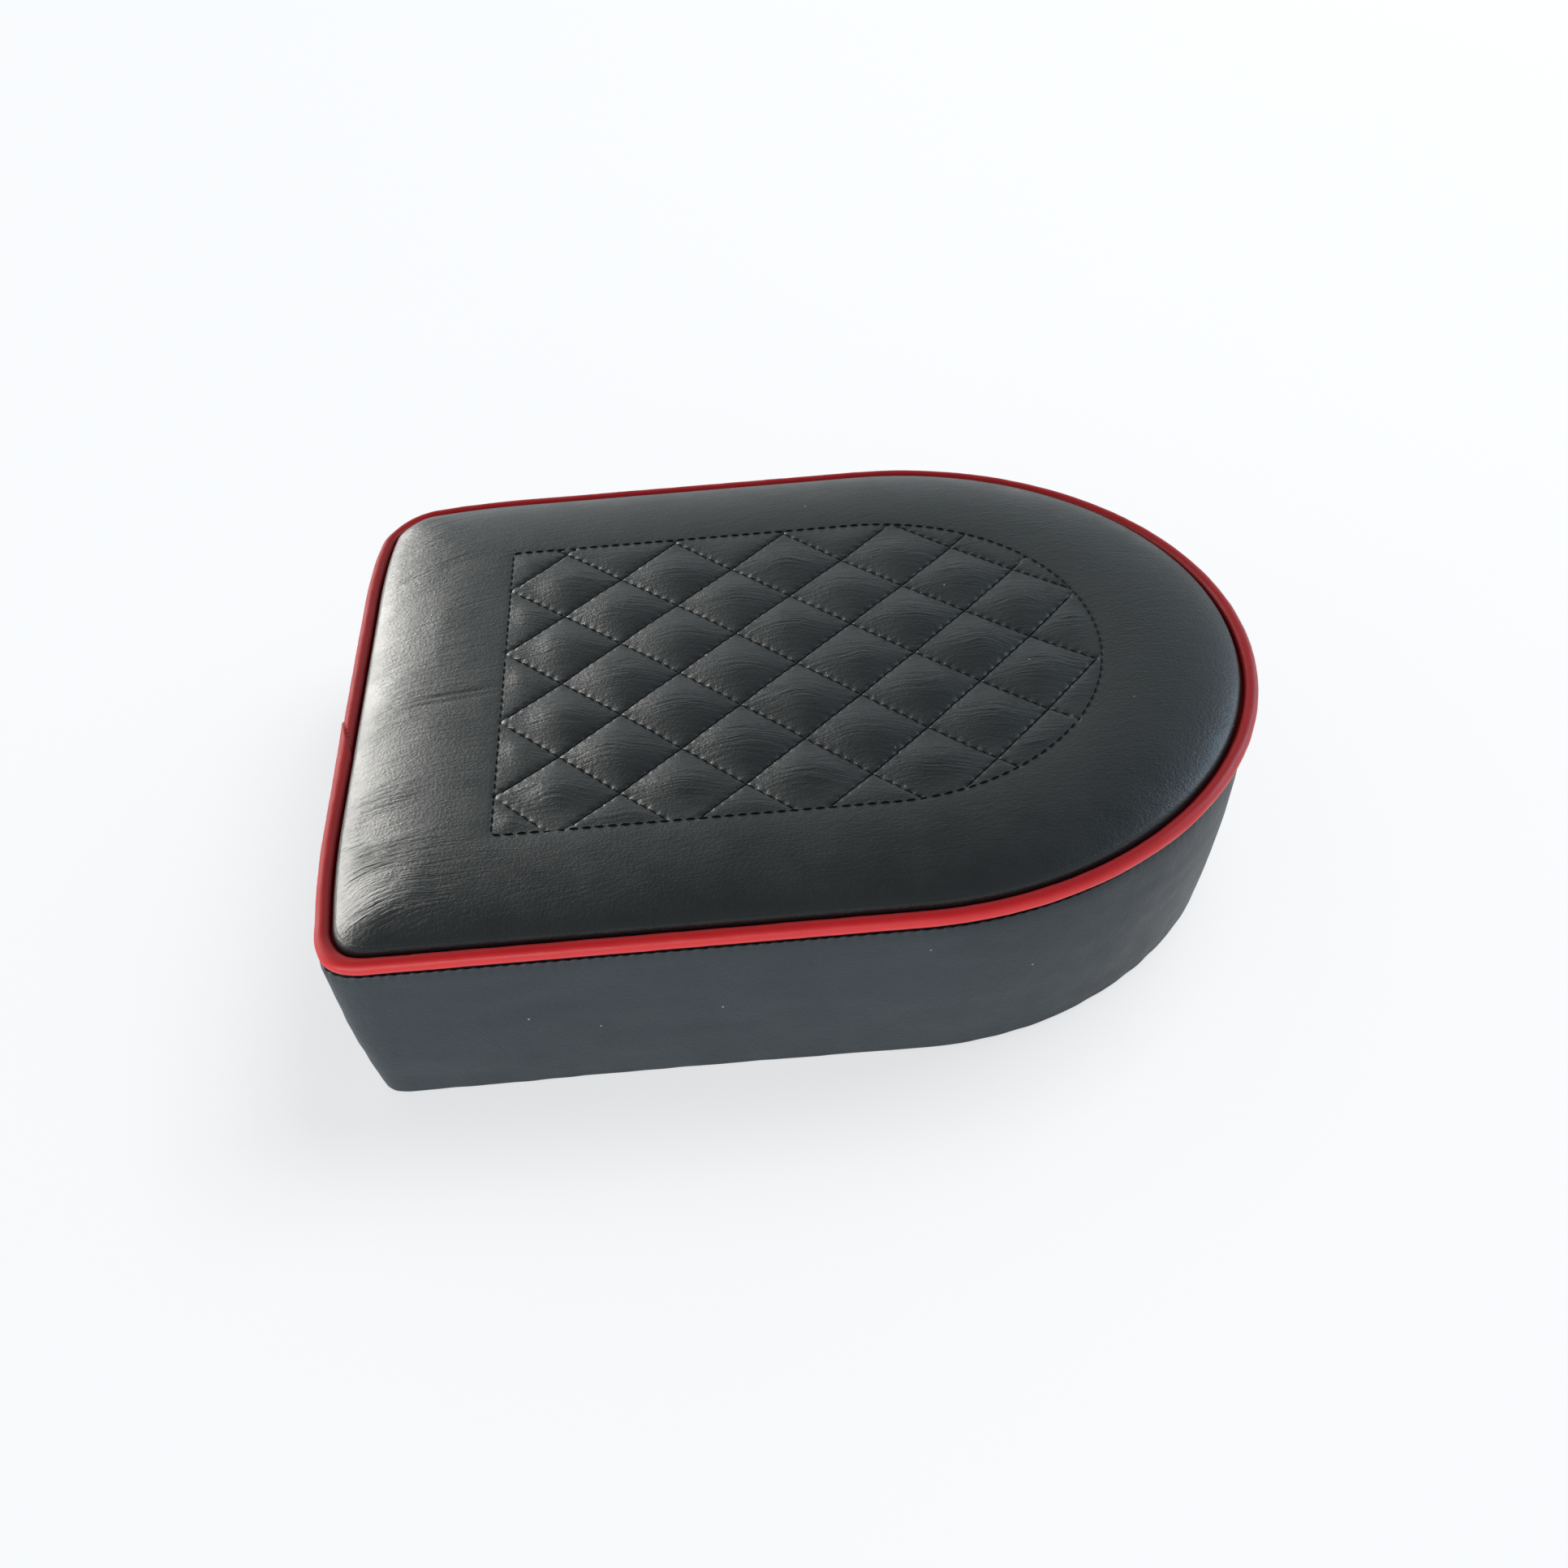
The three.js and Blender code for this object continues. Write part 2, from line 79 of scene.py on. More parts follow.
PIPING_RADIUS = 2.4
PIPING_VINYL = 0.5
VINYL = 1.2
GAP = 0.4
HALF_WIDTH = piping_high[1] - PIPING_RADIUS
FLAT_X = piping_low[0] + PIPING_RADIUS
ROUND_X = piping_high[0] - PIPING_RADIUS - HALF_WIDTH
CORNER_RADIUS = 18.0
LEAST_CORNER = 8.0
PIPING_HEIGHT = piping_high[2] - PIPING_RADIUS
ALLOWANCE_BOTTOM = panel_low[2]

# The panel's height: a round shoulder above the piping, then a slow rise to the crown.
SHOULDER_WIDTH = 40.0
SHOULDER_RISE = 10.2
CROWN_WIDTH = 100.0
CROWN_RISE = 1.8
SHOULDER_START = panel_high[2] - SHOULDER_RISE - CROWN_RISE

BAND_TOP = band_high[2]
BAND_OUTSIDE = 0.4  # inset of the band's outer face at its top
BAND_FOLD_INSET = 3.2
SKIRT_INSET = 5.2
PANEL_EDGE_INSET = 3.0
BASE_INSET = 9.0
BAND_BULGE = 1.2
HEM_INSET = 31.0

DIAMOND = 39.0
CELL = DIAMOND / math.sqrt(2)
LATTICE_X = quilt_low[0]
LATTICE_Y = -4.5
STITCHES_PER_CELL = 7
STITCH_PITCH = CELL / STITCHES_PER_CELL
LATTICE_SHIFT = -0.5  # of every line, across the seat
ROUND_END_BEND = 8.5  # how far the lines have strayed at the tip of the round end
FLAT_END_SPREAD = 0.055  # share by which the lines come closer together at the flat end


# ---- plan outlines


class Plan:
    """A D seen from above: a flat end, two straight sides and a half circle."""

    def __init__(self, flat_x, round_x, centre_y, half_width, corner, least_corner):
        self.flat_x = flat_x
        self.round_x = round_x
        self.centre_y = centre_y
        self.half_width = half_width
        self.corner = corner
        self.least_corner = least_corner

    def sizes(self, inset):
        corner = max(self.corner - inset, self.least_corner)
        return self.flat_x + inset, self.half_width - inset, corner

    def lengths(self, inset=0.0):
        """Lengths of the outline's seven stretches, from the middle of the flat end along -Y."""
        flat, half, corner = self.sizes(inset)
        end = half - corner
        turn = math.pi / 2 * corner
        side = self.round_x - flat - corner
        return np.array([end, turn, side, math.pi * half, side, turn, end])

    def length(self):
        return float(self.lengths().sum())

    def at(self, place, inset=0.0):
        """Points and outward normals at places in mm along the outline at inset 0."""
        flat, half, corner = self.sizes(inset)
        lengths = self.lengths()
        starts = np.concatenate([[0.0], np.cumsum(lengths)])
        place = np.mod(np.asarray(place, float), starts[-1])
        stretch = np.clip(np.searchsorted(starts, place, side="right") - 1, 0, 6)
        part = (place - starts[stretch]) / lengths[stretch]
        end = half - corner
        points = np.zeros((len(place), 2))
        normals = np.zeros((len(place), 2))

        def straight(index, start, stop, normal):
            on = stretch == index
            points[on] = np.outer(1 - part[on], start) + np.outer(part[on], stop)
            normals[on] = normal

        def arc(index, centre, radius, start, stop):
            on = stretch == index
            angle = np.radians(start + (stop - start) * part[on])
            normals[on] = np.stack([np.cos(angle), np.sin(angle)], 1)
            points[on] = np.array(centre) + radius * normals[on]

        straight(0, (flat, 0.0), (flat, -end), (-1.0, 0.0))
        arc(1, (flat + corner, -end), corner, 180, 270)
        straight(2, (flat + corner, -half), (self.round_x, -half), (0.0, -1.0))
        arc(3, (self.round_x, 0.0), half, -90, 90)
        straight(4, (self.round_x, half), (flat + corner, half), (0.0, 1.0))
        arc(5, (flat + corner, end), corner, 90, 180)
        straight(6, (flat, end), (flat, 0.0), (-1.0, 0.0))
        points[:, 1] += self.centre_y
        return points, normals

    def inside(self, x, y):
        """How far inside the outline points are."""
        from_end = x - self.flat_x
        from_side = self.half_width - np.abs(y - self.centre_y)
        result = np.minimum(from_end, from_side)
        corner, least = self.corner, self.least_corner
        outer = corner - np.hypot(corner - from_end, corner - from_side)
        in_outer = (from_end < corner) & (from_side < corner) & (outer < corner - least)
        gap = np.abs(from_end - from_side)
        deep = (from_end + from_side + np.sqrt(np.maximum(2 * least**2 - gap**2, 0.0))) / 2 - least
        in_deep = (gap < least) & (deep >= corner - least) & ~in_outer
        result = np.where(in_outer, outer, np.where(in_deep, deep, result))
        around = self.half_width - np.hypot(x - self.round_x, y - self.centre_y)
        return np.where(x > self.round_x, around, result)


SEAT = Plan(FLAT_X, ROUND_X, 0.0, HALF_WIDTH, CORNER_RADIUS, LEAST_CORNER)
quilt_half = (quilt_high[1] - quilt_low[1]) / 2
quilt_middle = (quilt_high[1] + quilt_low[1]) / 2
QUILT = Plan(quilt_low[0], quilt_high[0] - quilt_half, quilt_middle, quilt_half, 2.0, 2.0)


def base_height(x, y):
    """Height of the cover's smooth top."""
    distance = SEAT.inside(x, y)
    shoulder = 1 - np.clip(distance / SHOULDER_WIDTH, 0, 1)
    crown = np.clip(distance / CROWN_WIDTH, 0, 1)
    return SHOULDER_START + SHOULDER_RISE * np.sqrt(1 - shoulder**2) + CROWN_RISE * crown


# ---- noise


def smooth_noise(x, y, seed):
    """Smooth noise from -1 to 1, with one random value per unit of x and y."""
    table = np.random.default_rng(seed).uniform(-1.0, 1.0, (64, 64))
    cell_x = np.floor(x).astype(int)
    cell_y = np.floor(y).astype(int)
    part_x = x - cell_x
    part_y = y - cell_y
    blend_x = part_x**3 * (part_x * (part_x * 6 - 15) + 10)
    blend_y = part_y**3 * (part_y * (part_y * 6 - 15) + 10)

    def corner(dx, dy):
        return table[(cell_x + dx) % 64, (cell_y + dy) % 64]

    low = corner(0, 0) * (1 - blend_x) + corner(1, 0) * blend_x
    high = corner(0, 1) * (1 - blend_x) + corner(1, 1) * blend_x
    return low * (1 - blend_y) + high * blend_y


def hump(value, width):
    """A bell curve: 1 at a value of 0, fading out over a width."""
    return np.exp(-((value / width) ** 2))


def smooth_step(part):
    """Goes smoothly from 0 to 1 as a part does."""
    part = np.clip(part, 0, 1)
    return part * part * (3 - 2 * part)


# ---- quilting lattice


def lattice_shift(x, y):
    """How far the real sewing strays across the seat from an even lattice."""
    round_end = np.clip(x - 20, 0, None) / 78
    flat_end = np.exp(-np.clip(x - LATTICE_X, 0, None) / 30)
    spread_out = FLAT_END_SPREAD * (y - LATTICE_Y) * flat_end
    return LATTICE_SHIFT + ROUND_END_BEND * round_end**2 - spread_out


def lattice_of(x, y):
    """Cell coordinates of points: sewing lines run where either is a whole number."""
    even_y = y - lattice_shift(x, y)
    even_y = y - lattice_shift(x, even_y)
    along = x - LATTICE_X
    up = even_y - LATTICE_Y
    return (along + up) / DIAMOND - 0.5, (along - up) / DIAMOND - 0.5


def plan_of(a, b):
    """Points of given cell coordinates."""
    x = LATTICE_X + DIAMOND * (a + b + 1) / 2
    even_y = LATTICE_Y + DIAMOND * (a - b) / 2
    return x, even_y + lattice_shift(x, even_y)


def from_line(cell):
    """Distance in mm from the nearest whole-number line."""
    return np.abs(cell - np.round(cell)) * CELL


# ---- meshes


FLAT_END_IN = 1.1
FLAT_CORNERS_IN = 2.6
NEAR_CORNER_OUT = 2.3
FAR_CORNER_IN = 0.6
FAR_CORNER_REACH = 30.0
FAR_SIDE_IN = 3.0
FAR_SIDE_REACH = 52.0


def pulled(points, share):
    """Moves points as the cover's tension does.

    The top of the flat end bows inwards, its near corner is pushed out, and its far corner is
    pulled in along the side. The share is how much of the bow the piece follows.
    """
    x, y, z = points[:, 0], points[:, 1], points[:, 2]
    high_up = smooth_step((z - 8) / 52)
    reach = np.clip((np.abs(y) - 60) / 45, 0, 1.15)
    near_end = 1 - smooth_step((x - FLAT_X) / 45)
    moved = points.copy()
    moved[:, 0] += share * (FLAT_END_IN + FLAT_CORNERS_IN * reach**2) * near_end * high_up
    corner_reach = np.where(y < 0, CORNER_RADIUS, FAR_CORNER_REACH)
    from_centre_x = np.maximum(FLAT_X + corner_reach - x, 0)
    from_centre_y = np.maximum(np.abs(y) - (HALF_WIDTH - corner_reach), 0)
    radius = np.hypot(from_centre_x, from_centre_y) + 1e-9
    diagonal = (2 * from_centre_x * from_centre_y / radius**2) ** 1.5
    out = np.where(y < 0, NEAR_CORNER_OUT, -FAR_CORNER_IN * high_up) / math.sqrt(2)
    out = out * diagonal * np.minimum(radius / corner_reach, 1.2) ** 2
    moved[:, 0] -= out
    moved[:, 1] += out * np.sign(y)
    far_side = smooth_step((y - 55) / (HALF_WIDTH - 60))
    far_end = 1 - smooth_step((x - FLAT_X) / FAR_SIDE_REACH)
    moved[:, 1] -= FAR_SIDE_IN * far_side * far_end * high_up
    return moved


def in_scene(name, data):
    """A new object in the scene."""
    thing = bpy.data.objects.new(name, data)
    bpy.context.scene.collection.objects.link(thing)
    return thing


def make_mesh(name, points, faces, material, pull=1.0):
    """A mesh object from points in mm and faces. With no pull, the tension leaves it alone."""
    points = np.asarray(points, float)
    if pull:
        points = pulled(points, pull)
    mesh = bpy.data.meshes.new(name)
    mesh.from_pydata((points * MM).tolist(), [], [tuple(f) for f in faces])
    mesh.shade_smooth()
    if material:
        mesh.materials.append(material)
    return in_scene(name, mesh)


def placed_piece(piece, slot, *nodes):
    """The piece moves with the part and stands for CAD nodes."""
    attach(piece, "root")
    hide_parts(*nodes)
    return piece


def grid_faces(rows, columns, close_rows=True, first=0):
    """Quads of a grid of points whose columns close on themselves, row by row."""
    row = np.arange(rows if close_rows else rows - 1)
    row, column = np.meshgrid(row, np.arange(columns), indexing="ij")
    next_row = (row + 1) % rows
    next_column = (column + 1) % columns
    quads = np.stack([
        row * columns + column,
        row * columns + next_column,
        next_row * columns + next_column,
        next_row * columns + column,
    ], -1)
    return (quads.reshape(-1, 4) + first).tolist()


def ring_row(places, inset, height):
    """Points round the seat at one inset, at one height or a height each."""
    return np.column_stack([SEAT.at(places, inset)[0], np.full(len(places), height)])


def ring_points(places, profile):
    """Points [place, profile row] of a profile of [inset, height] swept round the seat."""
    return np.stack([ring_row(places, *spot) for spot in profile], 1)


def ring_mesh(name, grid, material, pull=1.0):
    """A closed ring of points [place, profile row]."""
    faces = grid_faces(*grid.shape[:2])
    return make_mesh(name, grid.reshape(-1, 3), faces, material, pull)


def left_of(line, distance):
    """The line that runs so far to the left of a line of points."""
    line = np.asarray(line, float)
    steps = np.diff(line, axis=0)
    steps /= np.linalg.norm(steps, axis=1)[:, None]
    arriving = np.vstack([steps[:1], steps])
    leaving = np.vstack([steps, steps[-1:]])
    along = arriving + leaving
    along /= np.linalg.norm(along, axis=1)[:, None]
    mitre = distance / np.abs((along * leaving).sum(1))
    return line + np.stack([-along[:, 1], along[:, 0]], 1) * mitre[:, None]


def raised(loops, points, height):
    """A triangulated area at heights that a function of x and y gives: points, faces, rim.

    It is bounded by loops[0], and later loops are kept as edges in it.
    """
    everything = []
    edges = []
    for index, loop in enumerate(loops):
        first = len(everything)
        everything += loop.tolist()
        count = len(loop)
        if index > 0:
            edges += [(first + i, first + (i + 1) % count) for i in range(count)]
    everything += points.tolist()
    outline = list(range(len(loops[0])))
    found = delaunay_2d_cdt([Vector(p) for p in everything], edges, [outline], 1, 1e-7)
    placed = np.array([tuple(p) for p in found[0]])
    rim = np.zeros(len(outline), int)
    for new, olds in enumerate(found[3]):
        for old in olds:
            if old < len(outline):
                rim[old] = new
    x, y = placed.T
    return np.column_stack([x, y, height(x, y)]), found[2], rim


def loop_points(plan, inset, spacing):
    """Points about so far apart along a plan's outline, and their places."""
    count = round(plan.length() / spacing)
    places = np.arange(count) * plan.length() / count
    return plan.at(places, inset)[0], places


def lattice_points(parts, plan, inset):
    """Points of a grid that follows the sewing, inside a plan's inset. Parts are from 0 to 1."""
    cells = np.arange(-8, 14)
    steps = (cells[:, None] + np.asarray(parts)[None, :]).ravel()
    a, b = np.meshgrid(steps, steps, indexing="ij")
    x, y = plan_of(a.ravel(), b.ravel())
    keep = plan.inside(x, y) > inset
    return np.column_stack([x[keep], y[keep]])


def even(steps):
    """Even parts of a length, from 0 up to just below 1."""
    return np.arange(steps) / steps


def closed_solid(name, upper, rows, lower, material, pull=1.0):
    """A closed mesh of an upper and a lower face, joined by rows of points round the outline.

    A face is its points, its triangles seen from above and the indices of its outline's points.
    """
    top, top_faces, top_rim = upper
    bottom, bottom_faces, bottom_rim = lower
    count = len(top_rim)
    points = np.concatenate([top, *rows, bottom])
    chain = [top_rim]
    chain += [len(top) + row * count + np.arange(count) for row in range(len(rows))]
    bottom_first = len(top) + len(rows) * count
    chain.append(bottom_rim + bottom_first)
    faces = [tuple(f) for f in top_faces]
    for high, low in zip(chain[:-1], chain[1:]):
        quads = np.stack([high, low, np.roll(low, -1), np.roll(high, -1)], 1)
        faces += quads.tolist()
    faces += [tuple(i + bottom_first for i in reversed(f)) for f in bottom_faces]
    return make_mesh(name, points, faces, material, pull)


# ---- materials


class Nodes:
    """A short way to write a material's nodes."""

    def __init__(self, name):
        self.material = bpy.data.materials.new(name)
        self.material.use_nodes = True
        self.tree = self.material.node_tree
        self.shader = self.tree.nodes["Principled BSDF"]
        self.coordinates = self.add("ShaderNodeTexCoord").outputs["Object"]

    def add(self, kind, settings=None, **inputs):
        node = self.tree.nodes.new(kind)
        for key, value in (settings or {}).items():
            setattr(node, key, value)
        for key, value in inputs.items():
            self.set(node.inputs[key.replace("_", " ")], value)
        return node

    def set(self, socket, value):
        if isinstance(value, bpy.types.NodeSocket):
            self.tree.links.new(value, socket)
        elif isinstance(value, tuple) and len(value) == 3 and len(socket.default_value) == 4:
            socket.default_value = (*value, 1.0)
        else:
            socket.default_value = value

    def surface(self, **inputs):
        for key, value in inputs.items():
            self.set(self.shader.inputs[key.replace("_", " ")], value)

    def noise(self, scale, detail=3.0, roughness=0.5, vector=None):
        node = self.add("ShaderNodeTexNoise", Vector=vector or self.coordinates, Scale=scale,
                        Detail=detail, Roughness=roughness)
        return node.outputs["Fac"]

    def cells(self, scale):
        node = self.add("ShaderNodeTexVoronoi", Vector=self.coordinates, Scale=scale)
        return node.outputs["Distance"]

    def wave(self, scale, direction, distortion=0.0, profile="SIN"):
        node = self.add("ShaderNodeTexWave",
                        {"bands_direction": direction, "wave_profile": profile},
                        Vector=self.coordinates, Scale=scale, Distortion=distortion)
        return node.outputs["Fac"]

    def stretched(self, stretch, degrees=0.0):
        """Coordinates stretched along axes that are turned about Z."""
        node = self.add("ShaderNodeMapping", {"vector_type": "TEXTURE"}, Scale=stretch,
                        Vector=self.coordinates, Rotation=(0.0, 0.0, math.radians(degrees)))
        return node.outputs["Vector"]

    def number(self, value, low, high, low_at=0.0, high_at=1.0):
        """A number that goes from low to high as a value goes from low_at to high_at."""
        node = self.add("ShaderNodeMapRange", Value=value, From_Min=low_at, From_Max=high_at,
                        To_Min=low, To_Max=high)
        return node.outputs["Result"]

    def colour(self, value, low, high, low_at=0.0, high_at=1.0):
        """A colour that goes from low to high as a value goes from low_at to high_at."""
        mix = self.add("ShaderNodeMix", {"data_type": "RGBA"})
        self.set(mix.inputs["Factor"], self.number(value, 0.0, 1.0, low_at, high_at))
        self.set(mix.inputs[6], low)
        self.set(mix.inputs[7], high)
        return mix.outputs[2]

    def math(self, operation, first, second=0.0):
        node = self.add("ShaderNodeMath", {"operation": operation})
        self.set(node.inputs[0], first)
        self.set(node.inputs[1], second)
        return node.outputs[0]

    def bump(self, height, strength, depth_mm, under=None):
        node = self.add("ShaderNodeBump", Height=height, Strength=strength,
                        Distance=depth_mm * MM)
        if under:
            self.set(node.inputs["Normal"], under)
        return node.outputs["Normal"]


def vinyl(name, dark, light, roughness, specular, grain_mm, crease_mm, crease_size, dust=None,
          mapped=False):
    """Soft upholstery vinyl with a pebbled grain, fine skin creases and a few specks of dust.

    A mapped vinyl also has creases that follow its mesh's own directions.
    """
    nodes = Nodes(name)
    pebbles = nodes.math("MULTIPLY", nodes.cells(1000.0), 0.7)
    skin = nodes.math("ADD", pebbles, nodes.math("MULTIPLY", nodes.noise(2200.0, 2.0), 0.6))
    creases = nodes.noise(1.0, 3.0, 0.6, nodes.stretched(crease_size, 18.0))
    strength = nodes.noise(35.0, 2.0, 0.5)
    creases = nodes.math("MULTIPLY", creases, nodes.number(strength, 0.3, 1.2, 0.35, 0.7))
    normal = nodes.bump(creases, 1.0, crease_mm)
    if mapped:
        place = nodes.add("ShaderNodeAttribute", {"attribute_name": "crease_place"})
        strength = nodes.add("ShaderNodeAttribute", {"attribute_name": "crease_strength"})
        shrunk = nodes.add("ShaderNodeMapping", Vector=place.outputs["Vector"],
                           Scale=(0.07, 0.75, 1.0))
        strands = nodes.noise(1.0, 3.0, 0.6, shrunk.outputs["Vector"])
        strands = nodes.math("MULTIPLY", strands, strength.outputs["Fac"])
        normal = nodes.bump(strands, 1.0, 0.9, normal)
    normal = nodes.bump(skin, 1.0, grain_mm, normal)
    colour = nodes.colour(nodes.noise(22.0, 4.0, 0.6), dark, light, 0.3, 0.7)
    if dust:
        colour = nodes.colour(nodes.cells(70.0), dust, colour, 0.012, 0.03)
    shine = nodes.number(nodes.noise(60.0, 5.0, 0.65), roughness - 0.05, roughness + 0.07, 0.3, 0.7)
    nodes.surface(Base_Color=colour, Roughness=shine, Normal=normal, Specular_IOR_Level=specular)
    return nodes.material


def soft_material(name, low, high, roughness, depth_mm, texture, specular=0.5):
    """Foam, cloth or cord: two close colours on a bumpy surface, the darker one in the hollows as
    painted shade.
    """
    nodes = Nodes(name)
    height = texture(nodes)
    shine = nodes.number(nodes.noise(300.0), roughness - 0.05, roughness + 0.05)
    nodes.surface(Base_Color=nodes.colour(height, low, high, 0.1, 0.7), Roughness=shine,
                  Normal=nodes.bump(height, 0.8, depth_mm), Specular_IOR_Level=specular)
    return nodes.material


def weave(scale):
    """Threads running both ways."""
    return lambda nodes: nodes.math("MULTIPLY", nodes.wave(scale, "X", 0.6),
                                    nodes.wave(scale, "Y", 0.6))


def plywood():
    """Birch plywood: long grain on the faces, plies on the edges."""
    nodes = Nodes("plywood")
    grain = nodes.noise(60.0, 6.0, 0.65, nodes.stretched((4.0, 0.25, 1.0)))
    fibres = nodes.noise(420.0, 3.0, 0.5, nodes.stretched((10.0, 0.33, 1.0)))
    face = nodes.colour(grain, (0.50, 0.31, 0.15), (0.72, 0.52, 0.30), 0.3, 0.7)
    plies = nodes.wave(110.0, "Z", 0.4, "SAW")
    edge = nodes.colour(plies, (0.42, 0.25, 0.12), (0.68, 0.48, 0.27), 0.35, 0.65)
    normal = nodes.add("ShaderNodeTexCoord").outputs["Normal"]
    level = nodes.math("ABSOLUTE", nodes.add("ShaderNodeSeparateXYZ", Vector=normal).outputs["Z"])
    nodes.surface(Base_Color=nodes.colour(level, edge, face, 0.4, 0.8),
                  Roughness=nodes.number(fibres, 0.62, 0.78),
                  Normal=nodes.bump(fibres, 0.4, 0.12))
    return nodes.material


def metal(name, low, high, roughness, scale):
    """Plated or drawn metal with light scratches and spots."""
    nodes = Nodes(name)
    spots = nodes.noise(scale, 5.0, 0.7)
    scratches = nodes.noise(900.0, 2.0, 0.5, nodes.stretched((5.0, 0.4, 1.0)))
    nodes.surface(Base_Color=nodes.colour(spots, low, high, 0.3, 0.7),
                  Roughness=nodes.number(scratches, roughness - 0.07, roughness + 0.12, 0.3, 0.7),
                  Metallic=1.0, Normal=nodes.bump(scratches, 0.15, 0.03))
    return nodes.material


DUST = (0.30, 0.30, 0.28)
TOP_VINYL = vinyl("black_vinyl", (0.014, 0.017, 0.018), (0.019, 0.022, 0.023), roughness=0.39,
                  specular=0.8, grain_mm=0.09, crease_mm=0.10,
                  crease_size=(0.011, 0.0012, 0.0012), dust=DUST, mapped=True)
# The band is the same black vinyl as the top, tinted blue: the tint is a painted reflection of
# bluish light on the sides.
BAND_VINYL_PAINTED_BLUE_LIGHT = vinyl("band_vinyl_painted_blue_light", (0.015, 0.023, 0.029), (0.020, 0.030, 0.037), roughness=0.50,
                   specular=0.38, grain_mm=0.11, crease_mm=0.26,
                   crease_size=(0.002, 0.002, 0.005), dust=DUST)
RED_VINYL = vinyl("red_vinyl", (0.56, 0.010, 0.014), (0.62, 0.016, 0.020), roughness=0.42,
                  specular=0.5, grain_mm=0.02, crease_mm=0.03, crease_size=(0.004, 0.004, 0.004))
THREAD = soft_material("thread", (0.003, 0.0035, 0.004), (0.010, 0.011, 0.012), 0.8, 0.05,
                       lambda nodes: nodes.wave(900.0, "DIAGONAL", 1.5), 0.12)
FOAM = soft_material("foam", (0.66, 0.58, 0.36), (0.80, 0.73, 0.50), 0.92, 0.25,
                     lambda nodes: nodes.cells(900.0))
WADDING = soft_material("wadding", (0.60, 0.60, 0.56), (0.78, 0.78, 0.74), 0.94, 0.2,
                        lambda nodes: nodes.cells(1400.0))
SCRIM = soft_material("scrim", (0.45, 0.44, 0.40), (0.75, 0.73, 0.68), 0.9, 0.15, weave(420.0))
CORD = soft_material("filler_cord", (0.60, 0.58, 0.52), (0.84, 0.82, 0.76), 0.8, 0.1,
                     lambda nodes: nodes.wave(500.0, "DIAGONAL", 1.5))
PLYWOOD = plywood()
ZINC = metal("zinc", (0.50, 0.51, 0.53), (0.72, 0.73, 0.74), 0.34, 180.0)
STEEL = metal("steel", (0.42, 0.43, 0.44), (0.60, 0.61, 0.62), 0.3, 500.0)


# ---- panel: cloth simulation

SEAM_DEPTH = 1.3  # how far the sewing pulls the panel down
BORDER_DEPTH = 0.45  # how far the border's sewing does
START_PUFF = 1.75  # height of the pillows before they are blown up
PUFF_LIMIT = 2.2  # the furthest a point of the cloth may move
CLOTH_STEPS = 10  # cloth points to a side of a diamond
LAST_FRAME = 20
CLOTH = {
    "quality": 6, "mass": 0.002, "tension_stiffness": 12.0, "compression_stiffness": 12.0,
    "shear_stiffness": 8.0, "bending_stiffness": 0.6, "air_damping": 1.0,
    "vertex_group_mass": "pins", "pin_stiffness": 1.0, "use_pressure": True,
    "uniform_pressure_force": 4.0, "vertex_group_shrink": "margin", "shrink_min": -0.008,
    "shrink_max": 0.004,
}


def away_from(distance, reach):
    """Goes smoothly from 0 at a line to 1 well away from it."""
    return 1 - hump(np.clip(distance, 0, None), reach)


def start_height(x, y):
    """The panel before it is blown up: sewn lines pulled down, shallow pillows between them."""
    a, b = lattice_of(x, y)
    border = QUILT.inside(x, y)
    pillow = np.abs(np.sin(np.pi * a) * np.sin(np.pi * b)) ** 0.8
    from_border = away_from(border, 11)
    depth = BORDER_DEPTH + (SEAM_DEPTH - BORDER_DEPTH) * from_border
    sewn = -depth + START_PUFF * pillow * from_border
    free = -BORDER_DEPTH * np.exp(-np.clip(-border, 0, None) / 7)
    return base_height(x, y) + np.where(border > 0, sewn, free)


def panel_cloth():
    """The quilted panel as a coarse cloth, blown up between its stitches."""
    spacing = CELL / CLOTH_STEPS
    edge = PANEL_EDGE_INSET + 0.4
    rim, _ = loop_points(SEAT, edge, spacing)
    border, _ = loop_points(QUILT, 0.0, spacing)
    free = lattice_points(even(CLOTH_STEPS), SEAT, edge + spacing * 0.7)
    free = free[np.abs(QUILT.inside(free[:, 0], free[:, 1])) > spacing * 0.45]
    start, faces, _ = raised([rim, border], free, start_height)
    x, y = start[:, :2].T
    a, b = lattice_of(x, y)
    inside_quilt = QUILT.inside(x, y)
    on_line = (np.minimum(from_line(a), from_line(b)) < 0.25) & (inside_quilt > -0.2)
    held = on_line | (np.abs(inside_quilt) < 0.2) | (SEAT.inside(x, y) < edge + 0.6)
    cloth = make_mesh("panel_cloth", start, faces, None, 0.0)
    blow_up(cloth, start, held, inside_quilt)
    return cloth


def even_out(moved, edges, held, rounds=12):
    """Evens out the cloth's small wrinkles; panel_detail puts finer ones in their place."""
    first, second = np.array([e.vertices[:] for e in edges]).T
    count = np.bincount(first, minlength=len(moved)) + np.bincount(second, minlength=len(moved))
    for _ in range(rounds):
        total = np.zeros_like(moved)
        np.add.at(total, first, moved[second])
        np.add.at(total, second, moved[first])
        blended = 0.5 * moved + 0.5 * total / count[:, None]
        moved = np.where(held[:, None], moved, blended)
    return moved


